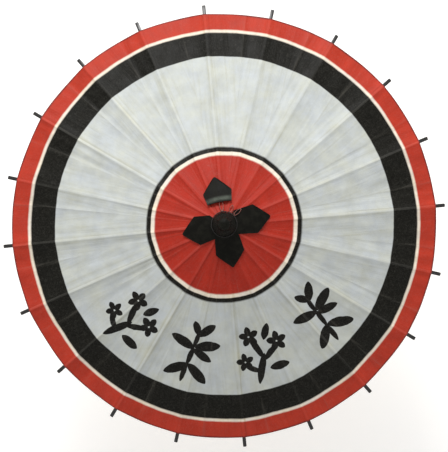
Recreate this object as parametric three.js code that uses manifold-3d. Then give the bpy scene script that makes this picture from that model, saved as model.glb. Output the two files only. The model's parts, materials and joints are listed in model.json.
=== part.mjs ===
// Oil paper umbrella, shown open: a wooden shaft with a turned grip, two slotted hubs, twenty bamboo ribs
// and twenty stretchers hinged on thread, a paper canopy, and an oiled cloth crown with four flaps.
// Millimetres, +Z up the shaft. The origin is the centre of the butt's flat end.
import * as THREE from "three";
import { mergeVertices } from "three/addons/utils/BufferGeometryUtils.js";
import Module from "manifold-3d";

const wasm = await Module();
wasm.setup();

// ---- Driving dimensions: millimetres and degrees ----
const CLEARANCE = 0.3; // between pieces that touch
const RUNNING_GAP = 0.4; // on each side of a tongue that swings in a slot

const RIB_COUNT = 20;
const FIRST_RIB_AZIMUTH = 5.35; // counter-clockwise from +X
const OPEN_ANGLE = 69; // a rib's angle from straight down, open
const CLOSED_ANGLE = 3; // and folded

const PAPER_RADIUS = 380; // from the axis to the paper's edge over a rib
const PAPER_THICKNESS = 0.5;
const CREASE_SHARE = 0.63; // how far round from a rib to the next, clockwise, the paper's crease lies
const CREASE_DROP = 6; // how far the crease dips at the rim
const RIM_DIP = 1.2; // how far the rim draws in at a crease

const RIB_TIP_OVERHANG = 15.6; // how far a rib stands out past the paper
const RIB_WIDTH = 5;
const RIB_HEIGHT = 5;
const RIB_ROOT_WIDTH = 3.6; // beside the hub, where the folded ribs crowd together
const RIB_FULL_WIDTH_AT = 80; // distance from the hinge at which the rib has its full width
const RIB_TIP_TAPER = 10;
const TONGUE_THICKNESS = 2.2;

const STRETCHER_PIVOT = 190; // distance along the rib from the hub hinge to the stretcher's pivot
const STRETCHER_PIVOT_DROP = 5; // how far that pivot hangs below the rib's middle
const STRETCHER_WIDTH = 3.6;
const STRETCHER_HEIGHT = 4;
const STRETCHER_TONGUE = 33; // length of the thin end that swings in the runner
const EAR_WALL = 1.2; // each ear beside the stretcher's upper end
const EAR_RADIUS = 2.4;
const PIN_RADIUS = 0.6;
const PIN_HOLE_RADIUS = 0.95;

const THREAD_RADIUS = 0.6;
const THREAD_HOLE_RADIUS = 1;

const SHAFT_RADIUS = 9;
const HUB_WALL = 1.5; // wood left between the latch's keyway and the slots
const HUB_RIM = 3; // wood outside the hinge thread
const TOOTH_HALF_HEIGHT = 9; // half the height of a hub's slotted part
const HUB_COLLAR_WALL = 5.7;
const HUB_COLLAR_HEIGHT = 12;
const HUB_PIN_RADIUS = 1.2;
const SHAFT_ABOVE_HUB = 29; // from the top of the slotted part to the shaft's end

const RUNNER_SLEEVE_LENGTH = 26;
const RUNNER_WAIST = 0.8; // how far the sleeve is turned in at its middle

const LATCH_NOSE = 2.6; // how far the latch stands out of the shaft
const LATCH_WIDTH = 3;
const LATCH_DEPTH = 4.4;
const LATCH_LENGTH = 54; // from its pin to its top
const LATCH_PIN_RADIUS = 0.8;
const LATCH_GORE = 15; // the latch faces the middle of the gore after this rib

const BUTT_WALL = 2;
const BUTT_HEIGHT = 12;
const BUTT_FLOOR = 5;
const GRIP_WALL = 4.2; // wood round the shaft, and at the grip's two ends
const GRIP_END_WALL = 2.9;
const GRIP_LENGTH = 118;
const GRIP_TO_RUNNER = 15; // bare shaft between the grip and the folded runner

const CROWN_SLACK = 0.4; // between the hood and the hub
const CROWN_THICKNESS = 1.4;
const CORD_RADIUS = 0.9;
const FLAP_COUNT = 4;
const FLAP_GORE = 0; // the first flap lies over the middle of the gore after this rib
const FLAP_LENGTH = 80; // from the axis to a flap's point
const FLAP_SHOULDER = 58; // from the axis to its widest place
const FLAP_HALF_WIDTH = 25;
const FLAP_NECK_HALF_WIDTH = 21.5;
const FLAP_THICKNESS = 0.9;

// ---- Worked out from them ----
const radians = THREE.MathUtils.degToRad;
const RIB_STEP = 360 / RIB_COUNT;
const OPEN_SIN = Math.sin(radians(OPEN_ANGLE));
const OPEN_COS = Math.cos(radians(OPEN_ANGLE));

const BORE_RADIUS = SHAFT_RADIUS + CLEARANCE;
const KEYWAY_RADIUS = SHAFT_RADIUS + LATCH_NOSE + CLEARANCE + 0.2;
const CORE_RADIUS = KEYWAY_RADIUS + HUB_WALL;
const HINGE_RADIUS = CORE_RADIUS + RIB_HEIGHT / 2 + RUNNING_GAP;
const HUB_RADIUS = HINGE_RADIUS + HUB_RIM;
const HUB_COLLAR_RADIUS = BORE_RADIUS + HUB_COLLAR_WALL;
const CROWN_RADIUS = HUB_RADIUS + CROWN_SLACK + CROWN_THICKNESS;
const SLOT_WIDTH = TONGUE_THICKNESS + 2 * RUNNING_GAP;
const RIB_TONGUE = TOOTH_HALF_HEIGHT + 2;

// The triangle of rib, stretcher and shaft has two equal sides, so that the stretcher turns on the rib by
// exactly twice the rib's own turn and its lower end stays at the hinge radius.
const PIVOT_LAG = THREE.MathUtils.radToDeg(Math.atan2(STRETCHER_PIVOT_DROP, STRETCHER_PIVOT));
const STRETCHER_LENGTH = Math.hypot(STRETCHER_PIVOT, STRETCHER_PIVOT_DROP);
const hubToRunner = (ribAngle) => 2 * STRETCHER_LENGTH * Math.cos(radians(ribAngle - PIVOT_LAG));

const GRIP_RADIUS = BORE_RADIUS + GRIP_WALL;
const GRIP_END_RADIUS = BORE_RADIUS + GRIP_END_WALL;
const BUTT_SOCKET_RADIUS = GRIP_END_RADIUS + CLEARANCE;
const BUTT_RADIUS = BUTT_SOCKET_RADIUS + BUTT_WALL;
const GRIP_BOTTOM = BUTT_FLOOR + CLEARANCE;
const SHAFT_BOTTOM = GRIP_BOTTOM + 4;
const GRIP_TOP = BUTT_HEIGHT + GRIP_LENGTH;
const RUNNER_BELOW_PIVOT = TOOTH_HALF_HEIGHT + RUNNER_SLEEVE_LENGTH;
const RUNNER_CLOSED_Z = GRIP_TOP + GRIP_TO_RUNNER + RUNNER_BELOW_PIVOT;
const HUB_Z = RUNNER_CLOSED_Z + hubToRunner(CLOSED_ANGLE);
const RUNNER_Z = HUB_Z - hubToRunner(OPEN_ANGLE);
const TEETH_TOP = HUB_Z + TOOTH_HALF_HEIGHT;
const COLLAR_TOP = TEETH_TOP + HUB_COLLAR_HEIGHT;
const SHAFT_TOP = TEETH_TOP + SHAFT_ABOVE_HUB;
const RIB_LENGTH = (PAPER_RADIUS + RIB_TIP_OVERHANG - HINGE_RADIUS) / OPEN_SIN;

// The paper's flanks fall away from each ridge, so its underside clears the rib's two upper edges. The flank
// that reaches its crease first is the steeper one.
const RIM_SHARE = 1 - RIM_DIP / PAPER_RADIUS;
const NARROW_FLANK = Math.min(CREASE_SHARE, 1 - CREASE_SHARE) * RIB_STEP;
const NARROW_SIN = Math.sin(radians(NARROW_FLANK));
const FLANK_SLOPE = NARROW_SIN * OPEN_COS + (CREASE_DROP / (PAPER_RADIUS * NARROW_SIN)) * OPEN_SIN;
const PAPER_UNDER = RIB_HEIGHT / 2 + CLEARANCE + FLANK_SLOPE * (RIB_WIDTH / 2);
const PAPER_OVER = PAPER_UNDER + PAPER_THICKNESS;
const PAPER_INNER_RADIUS = CROWN_RADIUS - CLEARANCE;

// ---- Closed geometries and solids ----
function prism(outline, bottom, top, holes = []) {
  const shape = new THREE.Shape(outline.map(([x, y]) => new THREE.Vector2(x, y)));
  for (const { x, y, radius } of holes) {
    shape.holes.push(new THREE.Path().absarc(x, y, radius, 0, 2 * Math.PI, true));
  }
  const options = { depth: top - bottom, bevelEnabled: false, curveSegments: 3 };
  return new THREE.ExtrudeGeometry(shape, options).translate(0, 0, bottom);
}

// The same, with its outline in the XZ plane and centred on y = 0.
function uprightPrism(outline, width, holes) {
  return prism(outline, -width / 2, width / 2, holes).rotateX(Math.PI / 2);
}

function turned(profile, segments) {
  const points = profile.map(([radius, z]) => new THREE.Vector2(radius, z));
  return new THREE.LatheGeometry([...points, points[0]], segments).rotateX(Math.PI / 2);
}

function block(xRange, yRange, zRange) {
  const ranges = [xRange, yRange, zRange];
  const sizes = ranges.map(([low, high]) => high - low);
  const middles = ranges.map(([low, high]) => (low + high) / 2);
  return new THREE.BoxGeometry(...sizes).translate(...middles);
}

function rod(radius, length, segments) {
  return new THREE.CylinderGeometry(radius, radius, length, segments);
}

function arc(x, y, radius, from, to, steps) {
  const points = [];
  for (let step = 0; step <= steps; step++) {
    const angle = radians(from + ((to - from) * step) / steps);
    points.push([x + radius * Math.cos(angle), y + radius * Math.sin(angle)]);
  }
  return points;
}

function solid(geometry) {
  const bare = geometry.index ? geometry.toNonIndexed() : geometry.clone();
  bare.deleteAttribute("normal");
  bare.deleteAttribute("uv");
  const merged = mergeVertices(bare, 1e-4);
  const vertProperties = new Float32Array(merged.attributes.position.array);
  const triVerts = new Uint32Array(merged.index.array);
  return new wasm.Manifold(new wasm.Mesh({ numProp: 3, vertProperties, triVerts }));
}

function geometryOf(made) {
  const { vertProperties, triVerts } = made.getMesh();
  const geometry = new THREE.BufferGeometry();
  geometry.setAttribute("position", new THREE.BufferAttribute(vertProperties, 3));
  geometry.setIndex(new THREE.BufferAttribute(triVerts, 1));
  geometry.computeVertexNormals();
  return geometry;
}

function cut(body, ...tools) {
  return tools.reduce((rest, tool) => rest.subtract(solid(tool)), body);
}

// ---- Materials ----
const finish = (color, roughness, metalness = 0) =>
  new THREE.MeshStandardMaterial({ color, roughness, metalness });
const MATERIALS = {
  bamboo: finish(0xb98f58, 0.55),
  hub: finish(0x7a5230, 0.6),
  shaft: finish(0x8a5f38, 0.5),
  grip: finish(0x4a2a18, 0.4),
  brass: finish(0xb08d4a, 0.35, 0.9),
  paper: finish(0xbec3c0, 0.5),
  crown: finish(0x1c1b16, 0.45),
  thread: finish(0x2c2620, 0.8),
  cord: finish(0x8f3a32, 0.75),
};

const umbrella = new THREE.Group();

function place(parent, name, geometry, material) {
  const mesh = new THREE.Mesh(geometry, MATERIALS[material]);
  mesh.name = name;
  parent.add(mesh);
  return mesh;
}

// A group turned so that its +X points out along the given azimuth.
function outward(azimuth) {
  const group = new THREE.Group();
  group.rotation.z = radians(azimuth);
  umbrella.add(group);
  return group;
}

const ribAzimuth = (index) => FIRST_RIB_AZIMUTH + index * RIB_STEP;
const goreAzimuth = (index) => ribAzimuth(index) + RIB_STEP / 2;

// ---- Shaft, its latch and pins ----
const LATCH_TOP_Z = RUNNER_Z - RUNNER_BELOW_PIVOT - CLEARANCE;
const LATCH_PIN_Z = LATCH_TOP_Z - LATCH_LENGTH;
const LATCH_FRONT = SHAFT_RADIUS - 0.4;
const LATCH_BACK = LATCH_FRONT - LATCH_DEPTH;
const LATCH_MIDDLE = (LATCH_FRONT + LATCH_BACK) / 2;
const LATCH_TAIL = LATCH_DEPTH / 2 + CLEARANCE;
const LATCH_SWING = LATCH_NOSE + 1; // how far the nose can be pressed in

const latchAzimuth = goreAzimuth(LATCH_GORE);
const toLatch = (geometry) => geometry.rotateZ(radians(latchAzimuth));
const latchHole = () => rod(LATCH_PIN_RADIUS + CLEARANCE, 3 * SHAFT_RADIUS, 12)
  .translate(LATCH_MIDDLE, 0, LATCH_PIN_Z);
const HUB_PIN_Z = TEETH_TOP + HUB_COLLAR_HEIGHT / 2;
const hubPinHole = () => rod(HUB_PIN_RADIUS + CLEARANCE, 3 * HUB_COLLAR_RADIUS, 12).translate(0, 0, HUB_PIN_Z);

function makeShaft() {
  const stick = turned([[0, SHAFT_BOTTOM], [SHAFT_RADIUS, SHAFT_BOTTOM],
    [SHAFT_RADIUS, SHAFT_TOP], [0, SHAFT_TOP]], 24);
  const halfWidth = LATCH_WIDTH / 2 + CLEARANCE;
  const mortise = block([LATCH_BACK - LATCH_SWING, 2 * SHAFT_RADIUS], [-halfWidth, halfWidth],
    [LATCH_PIN_Z - LATCH_TAIL - CLEARANCE, LATCH_TOP_Z + 1]);
  place(umbrella, "shaft", geometryOf(cut(solid(stick), toLatch(mortise), toLatch(latchHole()), hubPinHole())),
    "shaft");
}

function makeLatch() {
  const foot = arc(LATCH_MIDDLE, LATCH_PIN_Z, LATCH_DEPTH / 2, 180, 360, 6);
  const nose = LATCH_LENGTH - 24;
  const outline = [...foot, [LATCH_FRONT, LATCH_PIN_Z + nose], [SHAFT_RADIUS + LATCH_NOSE, LATCH_TOP_Z - 6],
    [SHAFT_RADIUS + LATCH_NOSE, LATCH_TOP_Z], [LATCH_BACK, LATCH_TOP_Z]];
  const pinHole = [{ x: LATCH_MIDDLE, y: LATCH_PIN_Z, radius: LATCH_PIN_RADIUS + CLEARANCE }];
  const group = outward(latchAzimuth);
  place(group, "latch", uprightPrism(outline, LATCH_WIDTH, pinHole), "bamboo");
  const pinReach = Math.sqrt(SHAFT_RADIUS ** 2 - (LATCH_MIDDLE + LATCH_PIN_RADIUS) ** 2);
  const pin = place(group, "latch_pin", rod(LATCH_PIN_RADIUS, 2 * pinReach, 10), "brass");
  pin.position.set(LATCH_MIDDLE, 0, LATCH_PIN_Z);
}

// ---- Grip and butt ----
function makeGrip() {
  const seat = BUTT_HEIGHT + CLEARANCE;
  const length = GRIP_TOP - seat;
  place(umbrella, "grip", turned([[0, GRIP_BOTTOM], [GRIP_END_RADIUS, GRIP_BOTTOM],
    [GRIP_END_RADIUS, seat], [GRIP_RADIUS, seat + 0.06 * length], [GRIP_RADIUS + 0.5, seat + 0.4 * length],
    [GRIP_RADIUS - 0.5, seat + 0.75 * length], [GRIP_END_RADIUS, GRIP_TOP - 3],
    [GRIP_END_RADIUS - 1, GRIP_TOP], [BORE_RADIUS, GRIP_TOP], [BORE_RADIUS, SHAFT_BOTTOM - CLEARANCE],
    [0, SHAFT_BOTTOM - CLEARANCE]], 28), "grip");
  place(umbrella, "butt_cap", turned([[0, 0], [BUTT_RADIUS - 1, 0], [BUTT_RADIUS, 1],
    [BUTT_RADIUS, BUTT_HEIGHT - 1], [BUTT_RADIUS - 1, BUTT_HEIGHT], [BUTT_SOCKET_RADIUS, BUTT_HEIGHT],
    [BUTT_SOCKET_RADIUS, BUTT_FLOOR], [0, BUTT_FLOOR]], 28), "brass");
}

// ---- Hubs: a slotted ring for the hinge tongues, with a thread through every tooth ----
function slottedRing(profile, pivotZ) {
  const threadHole = new THREE.TorusGeometry(HINGE_RADIUS, THREAD_HOLE_RADIUS, 5, 2 * RIB_COUNT)
    .rotateZ(radians(goreAzimuth(0))).translate(0, 0, pivotZ);
  let ring = cut(solid(turned(profile, 40)), threadHole);
  for (let index = 0; index < RIB_COUNT; index++) {
    const slot = block([CORE_RADIUS, 2 * HUB_RADIUS], [-SLOT_WIDTH / 2, SLOT_WIDTH / 2],
      [pivotZ - TOOTH_HALF_HEIGHT - 1, pivotZ + TOOTH_HALF_HEIGHT + 1]);
    ring = cut(ring, slot.rotateZ(radians(ribAzimuth(index))));
  }
  return ring;
}

function makeThread(name, z) {
  const thread = new THREE.TorusGeometry(HINGE_RADIUS, THREAD_RADIUS, 5, 2 * RIB_COUNT);
  const mesh = place(umbrella, name, thread, "thread");
  mesh.rotation.z = radians(goreAzimuth(0));
  mesh.position.z = z;
}

function makeHub() {
  const ring = slottedRing([[BORE_RADIUS, HUB_Z - TOOTH_HALF_HEIGHT], [HUB_RADIUS, HUB_Z - TOOTH_HALF_HEIGHT],
    [HUB_RADIUS, TEETH_TOP], [HUB_COLLAR_RADIUS, TEETH_TOP], [HUB_COLLAR_RADIUS, COLLAR_TOP],
    [BORE_RADIUS, COLLAR_TOP]], HUB_Z);
  place(umbrella, "upper_hub", geometryOf(cut(ring, hubPinHole())), "hub");
  makeThread("hub_thread", HUB_Z);
  const pin = place(umbrella, "hub_pin", rod(HUB_PIN_RADIUS, 2 * HUB_COLLAR_RADIUS - 1, 12), "bamboo");
  pin.position.z = HUB_PIN_Z;
}

function makeRunner() {
  const bottom = RUNNER_Z - RUNNER_BELOW_PIVOT;
  const teethBottom = RUNNER_Z - TOOTH_HALF_HEIGHT;
  const ring = slottedRing([[BORE_RADIUS, bottom], [CORE_RADIUS - 0.6, bottom], [CORE_RADIUS, bottom + 1.5],
    [CORE_RADIUS, bottom + 5], [CORE_RADIUS - RUNNER_WAIST, bottom + 9],
    [CORE_RADIUS - RUNNER_WAIST, teethBottom], [HUB_RADIUS, teethBottom],
    [HUB_RADIUS, RUNNER_Z + TOOTH_HALF_HEIGHT], [BORE_RADIUS, RUNNER_Z + TOOTH_HALF_HEIGHT]], RUNNER_Z);
  const halfWidth = LATCH_WIDTH / 2 + 2 * CLEARANCE;
  const keyway = block([0, KEYWAY_RADIUS], [-halfWidth, halfWidth],
    [bottom - 1, RUNNER_Z + TOOTH_HALF_HEIGHT + 1]);
  place(umbrella, "runner", geometryOf(cut(ring, toLatch(keyway))), "hub");
  makeThread("runner_thread", RUNNER_Z);
}

// ---- Ribs and stretchers ----
// A bar along +X whose width is given as half widths at distances along it.
function taperedBar(side, holes, halfWidths) {
  const right = halfWidths.map(([x, half]) => [x, -half]);
  const left = halfWidths.map(([x, half]) => [x, half]).reverse();
  const plan = prism([...right, ...left], -2 * RIB_HEIGHT, 2 * RIB_HEIGHT);
  return solid(uprightPrism(side, 2 * RIB_WIDTH, holes)).intersect(solid(plan));
}

function ribGeometry() {
  const half = RIB_HEIGHT / 2;
  const pivot = STRETCHER_PIVOT;
  const drop = STRETCHER_PIVOT_DROP;
  const side = [...arc(0, 0, half, 90, 270, 4), [pivot - EAR_RADIUS, -half],
    ...arc(pivot, -drop, EAR_RADIUS, 180, 360, 4), [pivot + EAR_RADIUS, -half],
    [RIB_LENGTH - RIB_TIP_TAPER, -half], [RIB_LENGTH, -half / 2], [RIB_LENGTH, half / 2],
    [RIB_LENGTH - RIB_TIP_TAPER, half]];
  const holes = [{ x: 0, y: 0, radius: THREAD_HOLE_RADIUS }, { x: pivot, y: -drop, radius: PIN_HOLE_RADIUS }];
  const tongue = TONGUE_THICKNESS / 2;
  const bar = taperedBar(side, holes, [[-2 * half, tongue], [RIB_TONGUE, tongue],
    [RIB_TONGUE + 2, RIB_ROOT_WIDTH / 2], [RIB_FULL_WIDTH_AT, RIB_WIDTH / 2],
    [RIB_LENGTH - RIB_TIP_TAPER, RIB_WIDTH / 2], [RIB_LENGTH + 1, RIB_WIDTH / 3]]);
  const slotHalf = RIB_WIDTH / 2 - EAR_WALL + 0.1;
  return geometryOf(cut(bar, block([pivot - 2 * EAR_RADIUS, pivot + 2 * EAR_RADIUS], [-slotHalf, slotHalf],
    [-2 * drop, -half])));
}

function stretcherGeometry() {
  const half = STRETCHER_HEIGHT / 2;
  const length = STRETCHER_LENGTH;
  const tongue = TONGUE_THICKNESS / 2;
  const body = STRETCHER_WIDTH / 2;
  const upperTongue = length - EAR_RADIUS - 1.5;
  const side = [...arc(0, 0, half, 90, 270, 4), ...arc(length, 0, half, -90, 90, 4)];
  const holes = [{ x: 0, y: 0, radius: THREAD_HOLE_RADIUS }];
  const bar = taperedBar(side, holes, [[-2 * half, tongue], [STRETCHER_TONGUE, tongue],
    [STRETCHER_TONGUE + 2, body], [upperTongue - 2, body], [upperTongue, tongue], [length + 2 * half, tongue]]);
  return geometryOf(bar.add(solid(rod(PIN_RADIUS, RIB_WIDTH - CLEARANCE, 6).translate(length, 0, 0))));
}

function makeRibsAndStretchers() {
  const rib = ribGeometry();
  const stretcher = stretcherGeometry();
  for (let index = 0; index < RIB_COUNT; index++) {
    const number = String(index + 1).padStart(2, "0");
    const group = outward(ribAzimuth(index));
    const ribMesh = place(group, `rib_${number}`, rib, "bamboo");
    ribMesh.position.set(HINGE_RADIUS, 0, HUB_Z);
    ribMesh.rotation.y = radians(90 - OPEN_ANGLE);
    const stretcherMesh = place(group, `stretcher_${number}`, stretcher, "bamboo");
    stretcherMesh.position.set(HINGE_RADIUS, 0, RUNNER_Z);
    stretcherMesh.rotation.y = -radians(90 - OPEN_ANGLE + PIVOT_LAG);
  }
}

// ---- Paper and crown ----
// Height of a surface that lies the given lift above the ribs' middle lines, over a rib and over a crease.
const ridgeHeight = (radius, lift) =>
  HUB_Z + lift * OPEN_SIN - ((radius - HINGE_RADIUS - lift * OPEN_COS) / OPEN_SIN) * OPEN_COS;
const creaseHeight = (radius, lift) => ridgeHeight(radius, lift) - (CREASE_DROP * radius) / PAPER_RADIUS;

// A folded cone over all the ribs: flat flanks between a ridge on each rib and a crease on its left.
function drapedShell(innerRadius, outerRadius, lowLift, highLift) {
  const corners = [[innerRadius, lowLift], [outerRadius, lowLift], [outerRadius, highLift],
    [innerRadius, highLift]];
  const positions = [];
  const faces = [];
  const stations = 2 * RIB_COUNT;
  for (let station = 0; station < stations; station++) {
    const onRidge = station % 2 === 0;
    const azimuth = radians(ribAzimuth(Math.floor(station / 2) + (onRidge ? 0 : 1 - CREASE_SHARE)));
    for (const [corner, lift] of corners) {
      const radius = onRidge || corner === innerRadius ? corner : corner * RIM_SHARE;
      const z = onRidge ? ridgeHeight(radius, lift) : creaseHeight(radius, lift);
      positions.push(radius * Math.cos(azimuth), radius * Math.sin(azimuth), z);
    }
    for (let side = 0; side < 4; side++) {
      const here = 4 * station;
      const next = 4 * ((station + 1) % stations);
      const after = (side + 1) % 4;
      faces.push(here + side, next + side, next + after, here + side, next + after, here + after);
    }
  }
  const shell = new THREE.BufferGeometry();
  shell.setAttribute("position", new THREE.Float32BufferAttribute(positions, 3));
  shell.setIndex(faces);
  shell.computeVertexNormals();
  return shell;
}

const CROWN_BOTTOM = ridgeHeight(PAPER_INNER_RADIUS, PAPER_OVER) + CLEARANCE;

function makeCrown() {
  const t = CROWN_THICKNESS;
  const stem = SHAFT_RADIUS + CLEARANCE + t;
  const collar = HUB_COLLAR_RADIUS + CLEARANCE + t;
  const dome = [[CROWN_RADIUS, CROWN_BOTTOM], [CROWN_RADIUS, TEETH_TOP + 1], [collar + 1.9, COLLAR_TOP - 2],
    [stem + 2.6, COLLAR_TOP + 6], [stem + 0.6, SHAFT_TOP], [stem - 2.5, SHAFT_TOP + 5], [0, SHAFT_TOP + 7]];
  const lining = dome.map(([radius, z], index) => {
    const fromTop = dome.length - 1 - index;
    return [Math.max(0, radius - t), fromTop < 2 ? z - t : z];
  });
  place(umbrella, "crown_cap", turned([...dome, ...lining.reverse()], 32), "crown");
  const cord = new THREE.TorusGeometry(CROWN_RADIUS + CLEARANCE + CORD_RADIUS, CORD_RADIUS, 8, 40);
  const cordZ = CROWN_BOTTOM + FLAP_THICKNESS + 2 * CLEARANCE + 2 * CORD_RADIUS;
  place(umbrella, "crown_cord", cord, "cord").position.z = cordZ;
}

function makeFlaps() {
  const root = CROWN_RADIUS / 2;
  const half = [[root, root - CLEARANCE], [FLAP_NECK_HALF_WIDTH + CLEARANCE, FLAP_NECK_HALF_WIDTH],
    [FLAP_SHOULDER, FLAP_HALF_WIDTH]];
  const mirrored = half.map(([x, y]) => [x, -y]);
  const outline = [...mirrored, [FLAP_LENGTH, 0], ...half.reverse()];
  const low = PAPER_OVER + CLEARANCE;
  const sheet = solid(drapedShell(root, FLAP_LENGTH + 10, low, low + FLAP_THICKNESS));
  const bore = rod(CROWN_RADIUS + CLEARANCE, 4 * HUB_Z, 48).rotateX(Math.PI / 2);
  for (let index = 0; index < FLAP_COUNT; index++) {
    const azimuth = goreAzimuth(FLAP_GORE) + (index * 360) / FLAP_COUNT;
    const cutter = prism(outline, HUB_Z - FLAP_LENGTH, HUB_Z + FLAP_LENGTH).rotateZ(radians(azimuth));
    const flap = cut(sheet.intersect(solid(cutter)), bore);
    place(umbrella, `crown_flap_${index + 1}`, geometryOf(flap), "crown");
  }
}

makeShaft();
makeLatch();
makeGrip();
makeHub();
makeRunner();
makeRibsAndStretchers();
place(umbrella, "canopy", drapedShell(PAPER_INNER_RADIUS, PAPER_RADIUS, PAPER_UNDER, PAPER_OVER), "paper");
makeCrown();
makeFlaps();

export default umbrella;
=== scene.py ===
# An oil paper umbrella, open: painted paper on twenty bamboo ribs, seen from above its crown.
# Metres, +Z up the shaft. Each section makes one piece or one group of like pieces.
import json
import math

import bpy
from mathutils import Matrix, Vector, noise


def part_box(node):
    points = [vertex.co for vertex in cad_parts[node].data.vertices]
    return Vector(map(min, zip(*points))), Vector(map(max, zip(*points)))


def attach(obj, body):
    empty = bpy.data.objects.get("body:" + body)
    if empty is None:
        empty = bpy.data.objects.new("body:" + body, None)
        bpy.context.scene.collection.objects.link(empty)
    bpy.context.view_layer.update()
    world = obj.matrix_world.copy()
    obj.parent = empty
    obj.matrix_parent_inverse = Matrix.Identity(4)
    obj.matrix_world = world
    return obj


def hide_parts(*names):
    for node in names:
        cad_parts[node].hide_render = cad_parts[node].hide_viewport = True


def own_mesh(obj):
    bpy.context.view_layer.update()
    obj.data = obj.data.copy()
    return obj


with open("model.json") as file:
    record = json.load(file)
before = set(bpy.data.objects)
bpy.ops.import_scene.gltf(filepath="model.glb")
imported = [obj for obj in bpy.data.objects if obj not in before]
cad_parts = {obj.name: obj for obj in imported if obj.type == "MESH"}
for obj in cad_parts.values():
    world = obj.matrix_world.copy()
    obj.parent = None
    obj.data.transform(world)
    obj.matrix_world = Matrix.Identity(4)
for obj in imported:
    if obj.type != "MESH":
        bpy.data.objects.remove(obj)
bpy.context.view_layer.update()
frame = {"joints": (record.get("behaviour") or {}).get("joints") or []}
bpy.ops.object.select_all(action="DESELECT")


# Shaft. A straight turned stick of hardwood under amber lacquer, with a mortise for the latch.
# It is drawn up from a disc, its two ends are rounded, and the mortise is cut with a block.
def select_only(*pieces):
    """Selects these pieces and nothing else, with the first one active."""
    bpy.ops.object.select_all(action="DESELECT")
    for piece in pieces:
        piece.select_set(True)
    bpy.context.view_layer.objects.active = pieces[0]


def finished(piece, name):
    """Leaves a piece at the origin, unturned and unscaled, under its own name."""
    select_only(piece)
    bpy.ops.object.transform_apply(location=True, rotation=True, scale=True)
    piece.name = name
    piece.data.name = name
    return piece


def apply_modifier(piece, kind, **settings):
    """Gives a piece one modifier and applies it at once."""
    bpy.context.view_layer.objects.active = piece
    modifier = piece.modifiers.new(kind.title(), kind)
    for key, value in settings.items():
        setattr(modifier, key, value)
    bpy.ops.object.modifier_apply(modifier=modifier.name)


def turned(name, stations, sides=64, hollow=False):
    """A piece turned about the shaft, drawn up through (height, radius) stations from a disc, or from a
    bare circle where it is hollow and its stations come back to the first."""
    bpy.ops.object.select_all(action="DESELECT")
    height, radius = stations[0]
    bpy.ops.mesh.primitive_circle_add(vertices=sides, radius=radius, location=(0, 0, height),
                                      fill_type="NOTHING" if hollow else "NGON")
    piece = finished(bpy.context.object, name)
    bpy.ops.object.mode_set(mode="EDIT")
    bpy.ops.mesh.select_all(action="SELECT")
    for (low, inner), (high, outer) in zip(stations, stations[1:]):
        bpy.ops.mesh.extrude_region_move(TRANSFORM_OT_translate={"value": (0, 0, high - low)})
        scale = outer / inner
        bpy.ops.transform.resize(value=(scale, scale, 1), center_override=(0, 0, high))
    bpy.ops.mesh.select_all(action="SELECT")
    bpy.ops.mesh.remove_doubles(threshold=1e-6)
    bpy.ops.mesh.normals_make_consistent(inside=False)
    bpy.ops.object.mode_set(mode="OBJECT")
    return piece


def block(name, low, high, azimuth=0.0):
    """A square block between two corners, turned round the shaft, to cut with."""
    middle = [(start + end) / 2 for start, end in zip(low, high)]
    size = [end - start for start, end in zip(low, high)]
    bpy.ops.object.select_all(action="DESELECT")
    bpy.ops.mesh.primitive_cube_add(size=1, location=middle, scale=size)
    piece = finished(bpy.context.object, name)
    piece.data.transform(Matrix.Rotation(azimuth, 4, "Z"))
    return piece


def cut_with(piece, cutter):
    """Cuts one solid out of another and throws the cutter away."""
    apply_modifier(piece, "BOOLEAN", operation="DIFFERENCE", object=cutter, solver="EXACT")
    bpy.data.objects.remove(cutter)


def smooth(piece, degrees=35):
    """Shades a piece smooth wherever its faces meet at less than this angle."""
    select_only(piece)
    bpy.ops.object.shade_smooth_by_angle(angle=math.radians(degrees))
    piece.select_set(False)


def material(name):
    """A new node material, its node tree and its Principled shader."""
    made = bpy.data.materials.new(name)
    made.use_nodes = True
    return made, made.node_tree, made.node_tree.nodes["Principled BSDF"]


def node(tree, kind, **settings):
    """One shader node, with its settings, and with the values of its named inputs."""
    made = tree.nodes.new(kind)
    for key, value in settings.items():
        if key in made.inputs.keys():
            made.inputs[key].default_value = value
        else:
            setattr(made, key, value)
    return made


def calculate(tree, operation, *values, clamp=False):
    """A Math node fed by sockets or numbers."""
    made = node(tree, "ShaderNodeMath", operation=operation, use_clamp=clamp)
    for socket, value in zip(made.inputs, values):
        if isinstance(value, (int, float)):
            socket.default_value = value
        else:
            tree.links.new(value, socket)
    return made.outputs["Value"]


def product(tree, value, *others):
    """Sockets or numbers multiplied one after another."""
    for other in others:
        value = calculate(tree, "MULTIPLY", value, other)
    return value


def spread(tree, value, low, high, out_low=0.0, out_high=1.0):
    """A value carried from one range to another, held at its ends."""
    made = node(tree, "ShaderNodeMapRange")
    for label, number in [("From Min", low), ("From Max", high), ("To Min", out_low), ("To Max", out_high)]:
        made.inputs[label].default_value = number
    tree.links.new(value, made.inputs["Value"])
    return made.outputs["Result"]


def tint(tree, amount, below, above, blend="MIX"):
    """One colour laid over another by a mask or a number."""
    made = node(tree, "ShaderNodeMix", data_type="RGBA", blend_type=blend)
    for label, value in [("Factor", amount), ("A", below), ("B", above)]:
        if isinstance(value, (int, float)):
            made.inputs[label].default_value = value
        elif isinstance(value, tuple):
            made.inputs[label].default_value = (*value, 1)
        else:
            tree.links.new(value, made.inputs[label])
    return made.outputs["Result"]


def stretched(tree, vector, scale):
    """A vector scaled along each axis, which draws a pattern out."""
    made = node(tree, "ShaderNodeMapping", Scale=scale)
    tree.links.new(vector, made.inputs["Vector"])
    return made.outputs["Vector"]


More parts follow.
